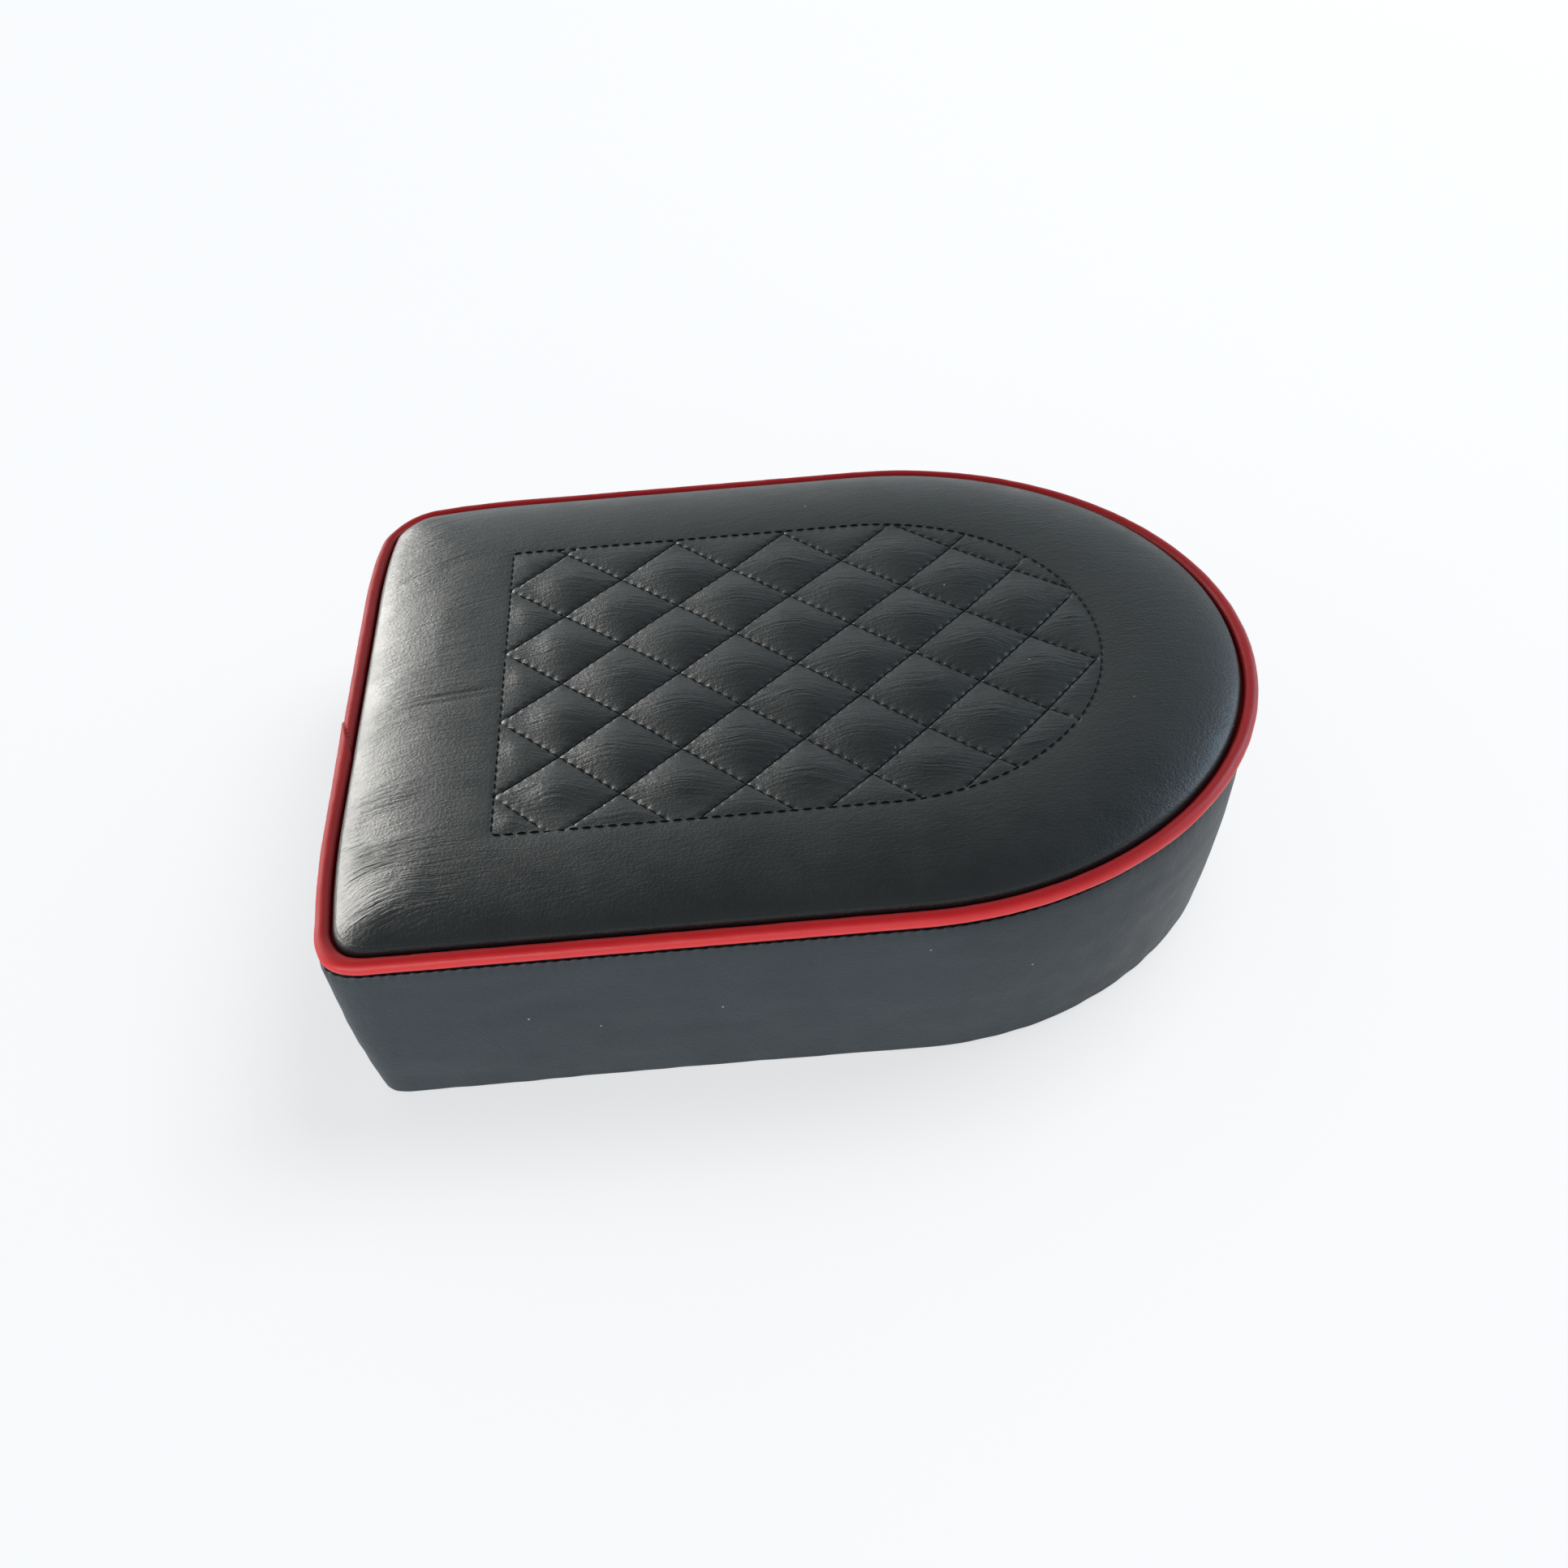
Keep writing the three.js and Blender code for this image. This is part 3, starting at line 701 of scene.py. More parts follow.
def blow_up(cloth, start, held, inside_quilt):
    """Runs the cloth simulation on the panel and keeps its result within limits."""
    foam_hold = 0.25  # the foam under the margin holds it near its place
    pins = cloth.vertex_groups.new(name="pins")
    margin = cloth.vertex_groups.new(name="margin")
    for index in range(len(start)):
        outside = inside_quilt[index] <= 0
        pins.add([index], 1.0 if held[index] else foam_hold * outside, "REPLACE")
        margin.add([index], 1.0 if outside else 0.0, "REPLACE")
    modifier = cloth.modifiers.new("Cloth", "CLOTH")
    for name, value in CLOTH.items():
        setattr(modifier.settings, name, value)
    modifier.settings.effector_weights.gravity = 0.0
    modifier.collision_settings.use_collision = False
    modifier.point_cache.frame_start = 1
    modifier.point_cache.frame_end = LAST_FRAME
    for number in range(1, LAST_FRAME + 1):
        bpy.context.scene.frame_set(number)
    solved = cloth.evaluated_get(bpy.context.evaluated_depsgraph_get())
    moved = np.array([v.co for v in solved.data.vertices]) / MM - start
    moved = even_out(moved, cloth.data.edges, held)
    moved *= (0.1 + 0.9 * away_from(inside_quilt, 12))[:, None]
    distance = np.linalg.norm(moved, axis=1)
    ended = start + moved * np.minimum(1.0, PUFF_LIMIT / np.maximum(distance, 1e-6))[:, None]
    cloth.modifiers.remove(modifier)
    cloth.data.vertices.foreach_set("co", (ended * MM).ravel())
    cloth.data.update()
    bpy.context.scene.frame_set(1)
    print("CLOTH mean %.2f most %.2f mm" % (distance.mean(), distance.max()))


def tree_of(piece):
    """A piece's surface, modifiers included, for finding points on it."""
    evaluated = piece.evaluated_get(bpy.context.evaluated_depsgraph_get())
    points = [v.co.copy() for v in evaluated.data.vertices]
    return BVHTree.FromPolygons(points, [p.vertices[:] for p in evaluated.data.polygons])


def heights_on(tree, x, y, otherwise):
    """Heights in mm of a surface at points, or the given ones where it has none."""
    heights = np.array(otherwise, float)
    for index, (px, py) in enumerate(zip(x, y)):
        hit = tree.ray_cast(Vector((px * MM, py * MM, 0.2)), Vector((0, 0, -1)))[0]
        if hit is not None:
            heights[index] = hit.z / MM
    return heights


cloth = panel_cloth()
smoothing = cloth.modifiers.new("Smooth", "SUBSURF")
smoothing.levels = 1
smoothing.render_levels = 1
cloth_tree = tree_of(cloth)
bpy.data.objects.remove(cloth)


def cloth_height(x, y):
    return heights_on(cloth_tree, x, y, base_height(x, y))


# ---- panel: sewing and creases

FOLD_HEIGHT = 0.17
SHORT_FOLD_HEIGHT = 0.10
MARGIN_CREASES = 0.8  # how strong the material's finest creases are on the plain margin
GROOVE_DEPTH = 0.25
GROOVE_WIDTH = 0.5
BORDER_GROOVE = 0.1
DIMPLE_DEPTH = 0.45
DIMPLE_RADIUS = 0.85


def seam_groove(across, along):
    """Height of a sewn line's groove, with a dimple where the needle went in."""
    from_hole = np.abs(along - np.round(along)) * STITCH_PITCH
    groove = GROOVE_DEPTH * np.exp(-np.abs(across) / GROOVE_WIDTH)
    dimple = DIMPLE_DEPTH * np.exp(-(from_hole**2 + across**2) / DIMPLE_RADIUS**2)
    return -groove - dimple


def border_dimples(x, y, border):
    """Depth of the dimples where the needle went in along the border."""
    count = round(QUILT.length() / STITCH_PITCH)
    holes = KDTree(count)
    for index, hole in enumerate(QUILT.at(np.arange(count) * QUILT.length() / count)[0]):
        holes.insert((hole[0], hole[1], 0.0), index)
    holes.balance()
    depth = np.zeros(len(x))
    for index in np.flatnonzero(np.abs(border) < 3 * DIMPLE_RADIUS):
        distance = holes.find((x[index], y[index], 0.0))[2]
        depth[index] = 0.25 * DIMPLE_DEPTH * math.exp(-((distance / DIMPLE_RADIUS) ** 2))
    return depth


def ridges(noise):
    """Turns smooth noise into sharp-crested folds from 0 to 1."""
    return (1 - np.abs(noise)) ** 3


def quilt_creases(x, y, a, b):
    """Curved folds across the upper part of each diamond: coordinates and strength."""
    centre_a = np.floor(a) + 0.5
    centre_b = np.floor(b) + 0.5
    centre_x, centre_y = plan_of(centre_a, centre_b)
    across = y - centre_y
    aside = x - centre_x
    cell = (centre_a * 7.3 + centre_b * 13.7) * 5.0
    amount = 0.65 + 0.35 * smooth_noise(cell, cell * 0 + 0.5, 12)
    upper = hump(across - 4.0, 6.0) * np.clip(1.25 - np.abs(aside) / 17, 0, 1)
    bend = smooth_noise(aside / 9 + cell, across / 9, 14)
    arc = across + 0.011 * aside**2 + 0.06 * aside + 1.2 * bend
    return aside + 20 * cell, arc, 0.14 + 1.35 * upper * amount


def margin_creases(x, y):
    """Folds in the plain margin, mostly over the shoulder at the flat end."""
    angle = np.interp(y, [-120, -105, -90, -70, -30, 0, 15, 40, 80, 120],
                      [38, 33, 20, 8, 7, 9, 14, 24, 27, 22])
    along = x - FLAT_X
    reach = 45 * (1 - np.exp(-along / 45))
    bend = smooth_noise(along / 22, y / 16, 32)
    across = y - reach * np.tan(np.radians(angle)) + 2.0 * bend
    patches = np.clip(0.55 + 0.9 * smooth_noise(along / 18, across / 14, 34), 0.12, 1)
    near_corner = 0.55 + 0.75 * hump(y + 98, 26)
    flat_end = hump(along - 14, 24) * near_corner
    return along, across, 0.12 + flat_end * patches


def double_crease(x, y):
    """A double crease that runs from the sewing's flat end out over the shoulder."""
    offset = y + 6.5 - 0.10 * (x + 112) - 0.004 * (x + 112) ** 2
    line = hump(offset, 0.75) + 0.7 * hump(offset + 3.2, 0.85)
    return -0.4 * line * np.exp(-((x + 113) / 13) ** 4)


def panel_creases(x, y):
    """Coordinates in mm along and across the panel's folds, and their strength."""
    a, b = lattice_of(x, y)
    border = QUILT.inside(x, y)
    rim = SEAT.inside(x, y)
    quilted = quilt_creases(x, y, a, b)
    plain = margin_creases(x, y)
    calm = smooth_step(-border / 7) * np.clip((rim - 2) / 8, 0, 1)
    within = smooth_step(border / 7)
    along = np.where(border > 0, quilted[0], plain[0] + 900)
    across = np.where(border > 0, quilted[1], plain[1])
    return along, across, np.where(border > 0, quilted[2] * within, plain[2] * calm)


def panel_detail(x, y):
    """Height in mm that the sewing and creases add to the blown-up panel."""
    a, b = lattice_of(x, y)
    border = QUILT.inside(x, y)
    sewn = np.clip(border / 0.6 + 1, 0, 1)
    rising = seam_groove(from_line(b), a * STITCHES_PER_CELL) * sewn
    falling = seam_groove(from_line(a), b * STITCHES_PER_CELL) * sewn
    edge = -BORDER_GROOVE * np.exp(-np.abs(border) / GROOVE_WIDTH) - border_dimples(x, y, border)
    along, across, strength = panel_creases(x, y)
    folds = ridges(smooth_noise(along / 24, across / 2.6, 31))
    shorter = ridges(smooth_noise(along / 11, across / 1.9, 33))
    return (np.minimum(np.minimum(rising, falling), edge)
            + (FOLD_HEIGHT * folds + SHORT_FOLD_HEIGHT * shorter) * strength
            + double_crease(x, y) * np.clip(-border / 2, 0, 1))


def panel_height(x, y):
    return cloth_height(x, y) + panel_detail(x, y)


def below_cloth(drop):
    """A function for heights so far below the blown-up cloth."""
    return lambda x, y: cloth_height(x, y) - drop


def build_panel():
    """A closed sheet: fine on top, rolled down into the seam, plain underneath."""
    edge = 4.8
    beside_seam = 0.35 / CELL
    parts = np.concatenate([even(STITCHES_PER_CELL * 4), [beside_seam, 1 - beside_seam]])
    outline, places = loop_points(SEAT, edge, 0.95)
    free = lattice_points(np.sort(parts), SEAT, edge + 0.55)
    upper, faces, rim = raised([outline], free, panel_height)
    rim_height = upper[rim, 2]
    roll = [(4.25, -0.4), (3.8, -0.95), (3.45, -1.7), (3.22, -2.5), (3.15, -3.3)]
    skirt = [(3.2, 67.0), (3.6, 66.6), (4.6, 66.25), (5.1, 65.6), (SKIRT_INSET, 64.5),
             (SKIRT_INSET, 60.0), (SKIRT_INSET, ALLOWANCE_BOTTOM),
             (SKIRT_INSET + VINYL, ALLOWANCE_BOTTOM), (SKIRT_INSET + VINYL, 60.0),
             (SKIRT_INSET + VINYL, 66.6)]
    rows = [ring_row(places, inset, rim_height + drop) for inset, drop in roll]
    rows += [ring_row(places, inset, height) for inset, height in skirt]
    inner = SKIRT_INSET + VINYL + 0.2
    lower = raised([SEAT.at(places, inner)[0]], lattice_points(even(7), SEAT, inner + 2.4),
                   below_cloth(PANEL_DROP))
    panel = closed_solid("quilted_panel", (upper, faces, rim), rows, lower, TOP_VINYL)
    x, y = upper[:, :2].T
    along, across, strength = panel_creases(x, y)
    softer = np.where(QUILT.inside(x, y) > 0, 1.0, MARGIN_CREASES)
    give_creases(panel, along, across, strength * softer)
    return panel


def give_creases(panel, along, across, strength):
    """Tells the panel's material where its finest creases run."""
    count = len(panel.data.vertices)
    places = np.zeros((count, 3))
    places[:len(along), 0] = along
    places[:len(along), 1] = across
    amounts = np.zeros(count)
    amounts[:len(along)] = strength
    for name, kind, field, values in (
            ("crease_place", "FLOAT_VECTOR", "vector", places.ravel()),
            ("crease_strength", "FLOAT", "value", amounts)):
        panel.data.attributes.new(name, kind, "POINT")
        panel.data.attributes[name].data.foreach_set(field, values)


PANEL_DROP = VINYL + 0.6  # from the blown-up cloth to the panel's underside
panel = placed_piece(build_panel(), "black_vinyl", "top_panel")
panel_tree = tree_of(panel)


# ---- stitches

STITCH_RADII = np.array([0.14, 0.30, 0.34, 0.34, 0.30, 0.14])
STITCH_SIDES = 6
# Length as a share of the pitch, and how high the thread lies above the seam.
RISING_STITCH = (0.98, 0.38)
FALLING_STITCH = (0.8, 0.26)
BORDER_THICKNESS = 0.78  # the border's thread is thinner than the diagonals' thread


def sewn_line(x, y, height):
    """Centreline of one stitch on the panel, its ends going down into the vinyl."""
    heights = heights_on(panel_tree, x, y, np.full(len(x), panel_high[2]))
    from_middle = np.abs(np.linspace(-1, 1, len(x)))
    level = 0.7 * heights.min() + 0.3 * heights
    return np.column_stack([x, y, level + height - 0.38 * from_middle**3])


def stitch_lines():
    """Centreline and thickness of every stitch: two families of diagonals and the border."""
    lines = []
    centred = np.linspace(-0.5, 0.5, len(STITCH_RADII))
    for falling, (length, height) in enumerate((RISING_STITCH, FALLING_STITCH)):
        for line in range(-4, 9):
            for stitch in range(-5 * STITCHES_PER_CELL, 9 * STITCHES_PER_CELL):
                part = (stitch + 0.5 + length * centred) / STITCHES_PER_CELL
                fixed = np.full(len(part), float(line))
                x, y = plan_of(fixed, part) if falling else plan_of(part, fixed)
                if QUILT.inside(x, y).min() > 0.5:
                    lines.append((sewn_line(x, y, height), 1.0))
    length, height = FALLING_STITCH
    count = round(QUILT.length() / STITCH_PITCH)
    for stitch in range(count):
        spots = stitch + (0.5 + length * centred)
        x, y = QUILT.at(spots * QUILT.length() / count)[0].T
        lines.append((sewn_line(x, y, height), BORDER_THICKNESS))
    return lines


def build_stitches():
    """Every stitch as a tapered round bar."""
    angles = 2 * np.pi * np.arange(STITCH_SIDES) / STITCH_SIDES
    points = []
    faces = []
    for line, thickness in stitch_lines():
        along = np.gradient(line, axis=0)
        across = np.cross(along, (0.0, 0.0, 1.0))
        across /= np.linalg.norm(across, axis=1)[:, None]
        up = np.cross(across, along / np.linalg.norm(along, axis=1)[:, None])
        first = len(points) * STITCH_SIDES
        for point, side, lift, radius in zip(line, across, up, STITCH_RADII):
            turn = np.outer(np.cos(angles), side) + np.outer(np.sin(angles), lift)
            points.append(point + thickness * radius * turn)
        faces += grid_faces(len(line), STITCH_SIDES, False, first)
        last = first + (len(line) - 1) * STITCH_SIDES
        faces.append(tuple(range(first, first + STITCH_SIDES)))
        faces.append(tuple(reversed(range(last, last + STITCH_SIDES))))
    return make_mesh("quilt_stitches", np.concatenate(points), faces, THREAD, 0.0)


placed_piece(build_stitches(), "thread", "quilt_thread")


# ---- piping


def seat_places(spacing, fine_spacing, fine_reach):
    """Places along the seat's outline, closer together near the middle of the flat end."""
    total = SEAT.length()
    near = np.arange(0, fine_reach, fine_spacing)
    plain = np.arange(fine_reach, total - fine_reach, spacing)
    last = np.arange(total - fine_reach, total - fine_spacing / 2, fine_spacing)
    return np.concatenate([near, plain, last])


def from_joint(places):
    """Places as distances from the middle of the flat end, negative on its far half."""
    total = SEAT.length()
    return np.where(places > total / 2, places - total, places)


def piping_arc(radius, angles):
    angles = np.radians(angles)
    return np.column_stack([radius * np.cos(angles), PIPING_HEIGHT + radius * np.sin(angles)])


def build_piping():
    """The red strip round its cord, with the lap where its ends meet on the flat end."""
    places = seat_places(1.2, 0.4, 40.0)
    angles = np.linspace(-22, 295, 27)
    bottom = ALLOWANCE_BOTTOM + 0.2
    profile = np.concatenate([
        piping_arc(PIPING_RADIUS, angles),
        [(1.6, 64.62), (2.6, 64.62), (3.3, 64.45), (3.6, 64.0), (3.6, 60.0), (3.6, bottom)],
        [(4.1, bottom), (4.1, 60.0), (4.1, 64.3), (3.85, 64.9), (3.3, 65.12), (2.3, 65.12)],
        piping_arc(PIPING_RADIUS - PIPING_VINYL, np.linspace(303, -38, 17)),
        [(2.3, 65.34), (3.7, 65.3), (4.08, 65.02), (4.3, 64.4), (4.3, 60.0), (4.3, bottom)],
        [(4.8, bottom), (4.8, 60.0), (4.8, 64.6), (4.5, 65.4), (3.8, 65.8), (2.7, 65.82)],
    ])
    grid = ring_points(places, profile)
    _, normals = SEAT.at(places)
    around = np.radians(angles)[None, :]
    # The lap: the near end's skin is folded over the far end's, along a slanting edge.
    outward = 0.5 - 0.5 * np.cos(around)
    past = from_joint(places)[:, None] - (24 - 19 * outward)
    lap = 0.55 * np.clip(past / 0.8, 0, 1) * np.exp(-np.clip(past, 0, None) / 20)
    lip = -0.3 * hump(past + 0.5, 0.5)
    wrinkles = 0.05 * smooth_noise(places[:, None] / 7, around * 1.2, 71)
    wrinkles = wrinkles + 0.035 * smooth_noise(places[:, None] / 2.2, around * 1.5, 72)
    change = lap + lip + wrinkles
    outside = grid[:, :len(angles)]
    outside[:, :, :2] -= (change * np.cos(around))[:, :, None] * normals[:, None, :]
    outside[:, :, 2] += change * np.sin(around)
    return ring_mesh("piping", grid, RED_VINYL)


def build_cord():
    places = seat_places(2.0, 2.0, 10.0)
    profile = piping_arc(1.45, np.arange(12) * 30.0)
    return ring_mesh("cord", ring_points(places, profile), CORD)


placed_piece(build_piping(), "red_vinyl", "piping_skin")
placed_piece(build_cord(), "filler_cord", "piping_cord")


# ---- side band

FOOT_ROUNDING = 2.2
HEM_ROWS = 8
SEAM_DROP = 2.3  # how far the band's folded edge has slipped down below the piping
SEAM_STITCH = 3.6
FOLD_UPSTAND = 64.1  # height of the fold's inner edge, which is sewn to the piping and stays up


def band_wall(steps):
    """The band's outer line from just under the piping down to its rounded foot."""
    part = np.linspace(0, 1, steps + 1)
    top = BAND_TOP - SEAM_DROP - 0.5
    inset = BAND_OUTSIDE + (BASE_INSET - BAND_OUTSIDE) * part - BAND_BULGE * np.sin(np.pi * part)
    return np.column_stack([inset, top + (FOOT_ROUNDING - top) * part])


def build_band():
    """The plain strip round the sides, folded in at the seam and turned under as a hem."""
    places = seat_places(1.0, 0.5, 5.0)
    fold_top = BAND_TOP - SEAM_DROP
    fold = np.array([(BAND_FOLD_INSET, ALLOWANCE_BOTTOM), (BAND_FOLD_INSET, 60.0),
                     (BAND_FOLD_INSET, FOLD_UPSTAND), (2.85, FOLD_UPSTAND + 0.1),
                     (2.6, FOLD_UPSTAND - 0.4), (2.4, fold_top - 1.2), (2.0, fold_top - 1.2),
                     (1.6, fold_top - 0.5), (1.15, fold_top - 0.1), (0.75, fold_top)])
    wall = band_wall(27)
    corner = np.radians(np.linspace(15, 90, 6))
    turn = np.column_stack([BASE_INSET + FOOT_ROUNDING * (1 - np.cos(corner)),
                            FOOT_ROUNDING * (1 - np.sin(corner))])
    hem = np.linspace(turn[-1], (HEM_INSET, 0.0), HEM_ROWS + 1)[1:]
    face = np.concatenate([fold, wall, turn, hem])
    lip = len(fold) - 3  # the first row in front of the crevice
    fold_back = BAND_FOLD_INSET + 0.6
    inside_fold = [(fold_back, ALLOWANCE_BOTTOM), (fold_back, 60.0), (fold_back, fold_top - 1.2),
                   (0.6, fold_top - 1.0)]
    thin = np.concatenate([inside_fold, band_wall(8)[1:], turn[1::2], hem[-1:]])
    profile = np.concatenate([face, left_of(thin, VINYL)[::-1]])
    grid = ring_points(places, profile)
    _, normals = SEAT.at(places)
    joint = from_joint(places)
    s = places[:, None]
    z = np.maximum(face[None, :, 1], 0.0)
    drift = smooth_noise(s / 30, z * 0, 81)
    scallops = 0.5 + 0.5 * np.sin(2 * np.pi * s / SEAM_STITCH + 2 * drift)
    puckers = np.exp(-(fold_top - z) / 1.6) * scallops
    waves = smooth_noise(s / 75, z / 50, 82)
    ripples = smooth_noise(s / 30 + z / 60, z / 5 + 0.2 * drift + s / 120, 83)
    fine = smooth_noise(s / 9 - z / 30, z / 2.2 + s / 50, 84)
    gathers = np.exp(-z / 6) * smooth_noise(s / 6, z * 0, 85)
    below_seam = fold_top - z
    slant = smooth_noise(s / 26 - z / 9, s / 60 + z / 14, 87)
    slant = slant * hump(np.abs(joint) - 175, 40)[:, None]
    amount = 0.5 * waves + 0.10 * ripples + 0.04 * fine + 0.18 * gathers + 0.22 * slant
    amount = amount * (1 - np.exp(-below_seam / 6))
    amount = amount - 0.35 * hump(below_seam, 1.2) - 0.35 * puckers
    amount = amount * (1 - hump(joint, 5))[:, None]
    seam = 0.9 * hump(joint, 0.8) + 0.25 * hump(joint, 3.5)
    share = np.concatenate([np.zeros(len(fold) - 1), [0.5], np.ones(len(wall)), np.cos(corner),
                            np.zeros(len(hem))])
    amount = (amount - seam[:, None]) * share[None, :]
    grid[:, :len(face), :2] += amount[:, :, None] * normals[:, None, :]
    grid[:, lip:len(face), 2] -= 0.55 * puckers[:, lip:]
    inner = np.clip((hem[None, :, 0] - 14) / 10, 0, 1)
    pleats = 0.25 * smooth_noise(s / 5, inner * 0, 86) * inner
    grid[:, len(face) - len(hem):len(face), 2] += 0.25 + pleats
    return ring_mesh("side_cover", grid, BAND_VINYL_PAINTED_BLUE_LIGHT, 0.2)


placed_piece(build_band(), "black_vinyl", "side_band")


# ---- foam and cloth inside

WADDING_TOP = PANEL_DROP + 0.3
WADDING_BOTTOM = WADDING_TOP + 4.8
SCRIM_TOP = WADDING_BOTTOM + 0.1
SCRIM_THICKNESS = 0.5
RECESS = WADDING_BOTTOM + SCRIM_THICKNESS + 0.6
LAYER_INSET = 0.5  # of the wadding and the scrim, inside the quilted field


def layer(name, inset, upper_height, lower_height, material, steps=7):
    """A layer in the shape of the quilted field, between two heights."""
    outline = loop_points(QUILT, inset, CELL / steps)[0]
    free = lattice_points(even(steps), QUILT, inset + 2.0)
    upper = raised([outline], free, upper_height)
    lower = raised([outline], free, lower_height)
    return closed_solid(name, upper, [], lower, material, pull=0.0)


def below_top(drop):
    """A function for heights so far below the cover's smooth top."""
    return lambda x, y: base_height(x, y) - drop


def foam_crown(x, y):
    """Height of the foam's top: a recess for the wadding in a crown under the plain margin."""
    sunk = np.where(QUILT.inside(x, y) > -0.9, RECESS, PANEL_DROP + 0.6)
    return base_height(x, y) - sunk


def foam_bottom(x, y):
    return np.full(len(x), core_low[2])


def build_foam():
    """The cushion: a flat bottom, walls that follow the band and a recess for the wadding."""
    ledge = ALLOWANCE_BOTTOM - 1.0
    inner = SKIRT_INSET + VINYL + 1.2
    outline, places = loop_points(SEAT, inner + 1.5, 3.0)
    edges = [loop_points(QUILT, -0.6, 3.0)[0], loop_points(QUILT, -1.2, 3.0)[0]]
    free = lattice_points(even(7), SEAT, inner + 4)
    border = QUILT.inside(free[:, 0], free[:, 1])
    free = free[(border > 1.5) | (border < -3.0)]
    upper = raised([outline, *edges], free, foam_crown)
    wall = left_of(band_wall(12), VINYL + GAP + 0.4)
    wall = wall[(wall[:, 1] > core_low[2] + 1) & (wall[:, 1] < ledge - 1)]
    sides = [(inner, 67.0), (inner, ledge), (wall[0, 0], ledge), *wall,
             (wall[-1, 0], core_low[2] + 0.3), (wall[-1, 0] + 0.3, core_low[2])]
    rows = [ring_row(places, inset, height) for inset, height in sides]
    bottom_inset = wall[-1, 0] + 4
    lower = raised([SEAT.at(places, bottom_inset)[0]],
                   lattice_points(even(2), SEAT, bottom_inset + 8), foam_bottom)
    return closed_solid("foam_block", upper, rows, lower, FOAM)


foam = placed_piece(build_foam(), "foam", "foam_core")
wadding = layer("quilt_wadding", LAYER_INSET, below_cloth(WADDING_TOP),
                below_top(WADDING_BOTTOM), WADDING)
placed_piece(wadding, "foam", "quilt_foam")
scrim = layer("scrim", LAYER_INSET, below_top(SCRIM_TOP), below_top(SCRIM_TOP + SCRIM_THICKNESS),
              SCRIM)
placed_piece(scrim, "scrim", "scrim_cloth")


# ---- CAD pieces kept

KEPT = {"base_board": PLYWOOD, "tee_nut": ZINC, "staple": STEEL}
for name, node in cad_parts.items():
    for start, material in KEPT.items():
        if name.startswith(start):
            node.data.materials.clear()
            node.data.materials.append(material)


# ---- camera


def camera_axes(azimuth, elevation, roll):
    """Right, up and back directions of a camera, as rows. Azimuth 0 looks along +Y."""
    a, e, r = (math.radians(v) for v in (azimuth, elevation, roll))
    back = np.array([math.sin(a) * math.cos(e), -math.cos(a) * math.cos(e), math.sin(e)])
    right = np.array([math.cos(a), math.sin(a), 0.0])
    up = np.cross(back, right)
    return np.array([math.cos(r) * right + math.sin(r) * up,
                     -math.sin(r) * right + math.cos(r) * up, back])


axes = camera_axes(azimuth=-0.52, elevation=40.70, roll=-4.48)
camera = in_scene("camera", bpy.data.cameras.new("camera"))
camera.data.sensor_width = 36.0
camera.data.lens = 44.29
camera.data.clip_start = 0.01
camera.data.clip_end = 100.0
eye = axes.T @ np.array([-7.9, 14.2, 691.0]) * MM
camera.matrix_world = Matrix.Translation(eye) @ Matrix(axes.T.tolist()).to_4x4()
bpy.context.scene.camera = camera


# ---- floor and light

CENTRE = (0.0, 0.0, 0.06)
WINDOW = (-1.45, 1.02, 0.66)
DAYLIGHT = (1.0, 0.975, 0.92)


def receivers(name, *pieces):
    """A collection of the pieces a lamp shines on."""
    collection = bpy.data.collections.new(name)
    for piece in pieces:
        collection.objects.link(piece)
    return collection


def area_light(name, place, size, power, colour, lit, aim=CENTRE):
    """A soft rectangular light that shines on some pieces only."""
    light = bpy.data.lights.new(name, "AREA")
    light.shape = "RECTANGLE"
    light.size, light.size_y = size
    light.energy = power
    light.color = colour
    lamp = in_scene(name, light)
    lamp.location = place
    lamp.rotation_euler = (Vector(aim) - Vector(place)).to_track_quat("-Z", "Y").to_euler()
    lamp.light_linking.receiver_collection = lit


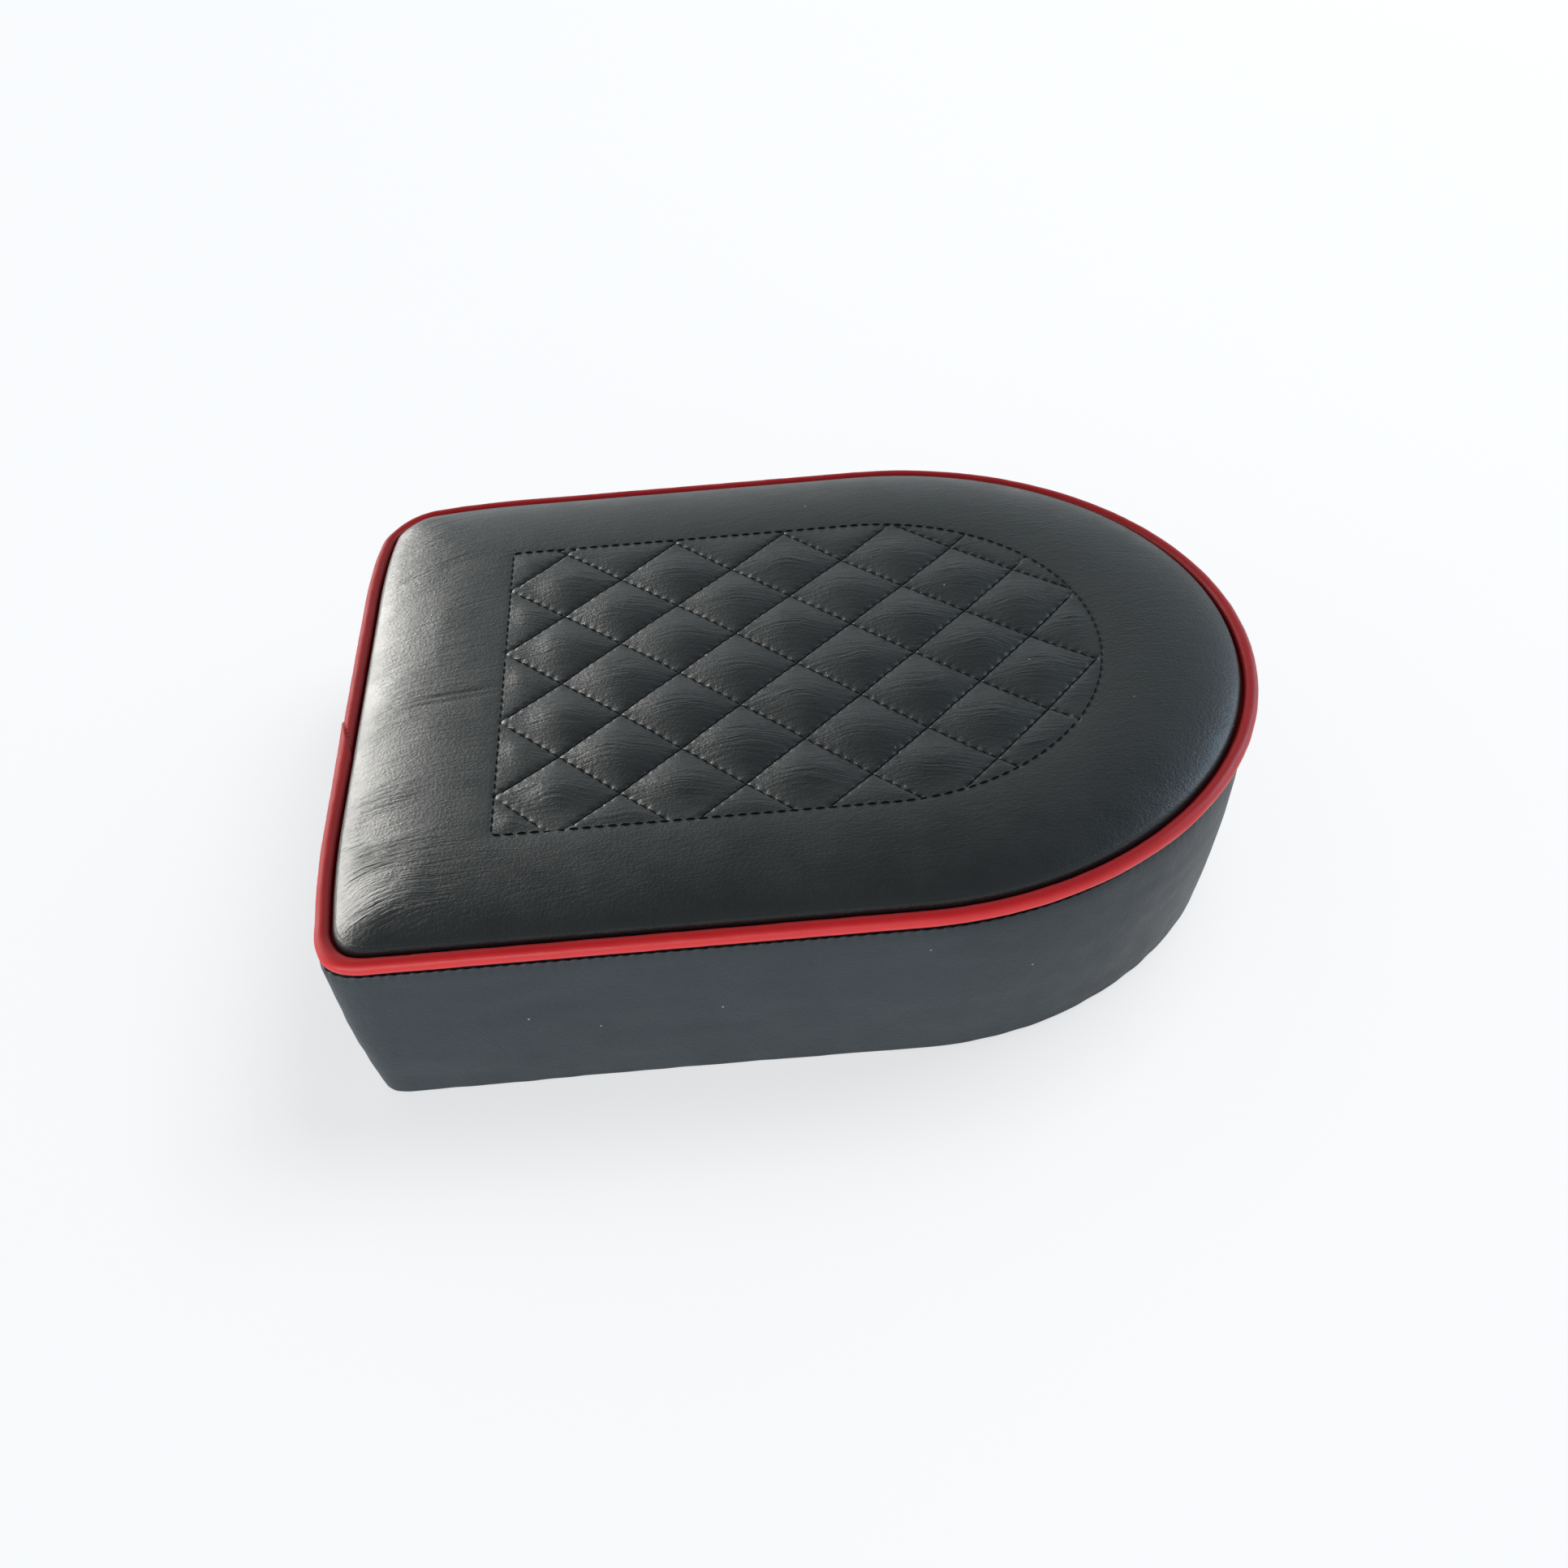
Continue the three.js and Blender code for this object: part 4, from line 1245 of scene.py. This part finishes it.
piping = bpy.data.objects["piping"]
side_cover = bpy.data.objects["side_cover"]
seat_only = receivers("seat_only", *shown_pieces())
all_but_piping = receivers("all_but_piping", *[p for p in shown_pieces() if p != piping])
sides_only = receivers("sides_only", piping, side_cover)
band_only = receivers("band_only", side_cover)
piping_only = receivers("piping_only", piping)
area_light("window", WINDOW, size=(1.9, 0.72), power=55.0, colour=DAYLIGHT, lit=all_but_piping)
area_light("window_dim", WINDOW, size=(1.9, 0.9), power=12.0, colour=DAYLIGHT, lit=piping_only)
area_light("side_window", (1.6, 0.6, 0.8), size=(1.0, 1.0), power=9.0, colour=(0.62, 0.8, 1.0),
           lit=seat_only)
area_light("ceiling", (0.1, -0.55, 1.6), size=(1.6, 0.8), power=1.0, colour=(0.9, 0.97, 1.0),
           lit=all_but_piping)
area_light("room", (-0.85, -1.30, 0.45), size=(1.6, 0.5), power=13.5, colour=(1.0, 0.99, 0.97),
           lit=sides_only)
area_light("floor_bounce", (-0.50, -0.55, 0.12), size=(0.3, 0.15), power=0.7,
           colour=(1.0, 0.97, 0.92), lit=band_only, aim=(-0.15, -0.12, 0.03))

floor_nodes = Nodes("floor")
floor_nodes.surface(
    Base_Color=floor_nodes.colour(floor_nodes.noise(3.0, 2.0), (0.49, 0.50, 0.51),
                                  (0.51, 0.52, 0.53)),
    Roughness=0.95, Emission_Color=(0.985, 0.985, 1.0), Emission_Strength=0.675)
FLOOR_HALF = 20000.0
floor = make_mesh("floor", np.array([(-1, -1, 0), (1, -1, 0), (1, 1, 0), (-1, 1, 0)]) * FLOOR_HALF
                  - np.array([0, 0, 0.05]), [(0, 1, 2, 3)], floor_nodes.material, 0.0)
area_light("floor_light", (2.0, 1.1, 4.0), size=(3.0, 3.0), power=88.0, colour=(1.0, 1.0, 1.0),
           lit=receivers("floor_only", floor))

# The room is bright near the floor and dim overhead.
world = bpy.data.worlds.new("world")
world.use_nodes = True
sky_nodes = world.node_tree
sky = sky_nodes.nodes["Background"]
direction = sky_nodes.nodes.new("ShaderNodeTexCoord").outputs["Generated"]
split = sky_nodes.nodes.new("ShaderNodeSeparateXYZ")
fade = sky_nodes.nodes.new("ShaderNodeMapRange")
sky_nodes.links.new(direction, split.inputs[0])
sky_nodes.links.new(split.outputs["Z"], fade.inputs["Value"])
for socket, value in (("From Min", 0.1), ("From Max", 0.9), ("To Min", 0.74), ("To Max", 0.08)):
    fade.inputs[socket].default_value = value
sky.inputs["Color"].default_value = (0.88, 0.97, 1.0, 1.0)
sky_nodes.links.new(fade.outputs["Result"], sky.inputs["Strength"])
bpy.context.scene.world = world
bpy.context.scene.view_settings.view_transform = "Standard"
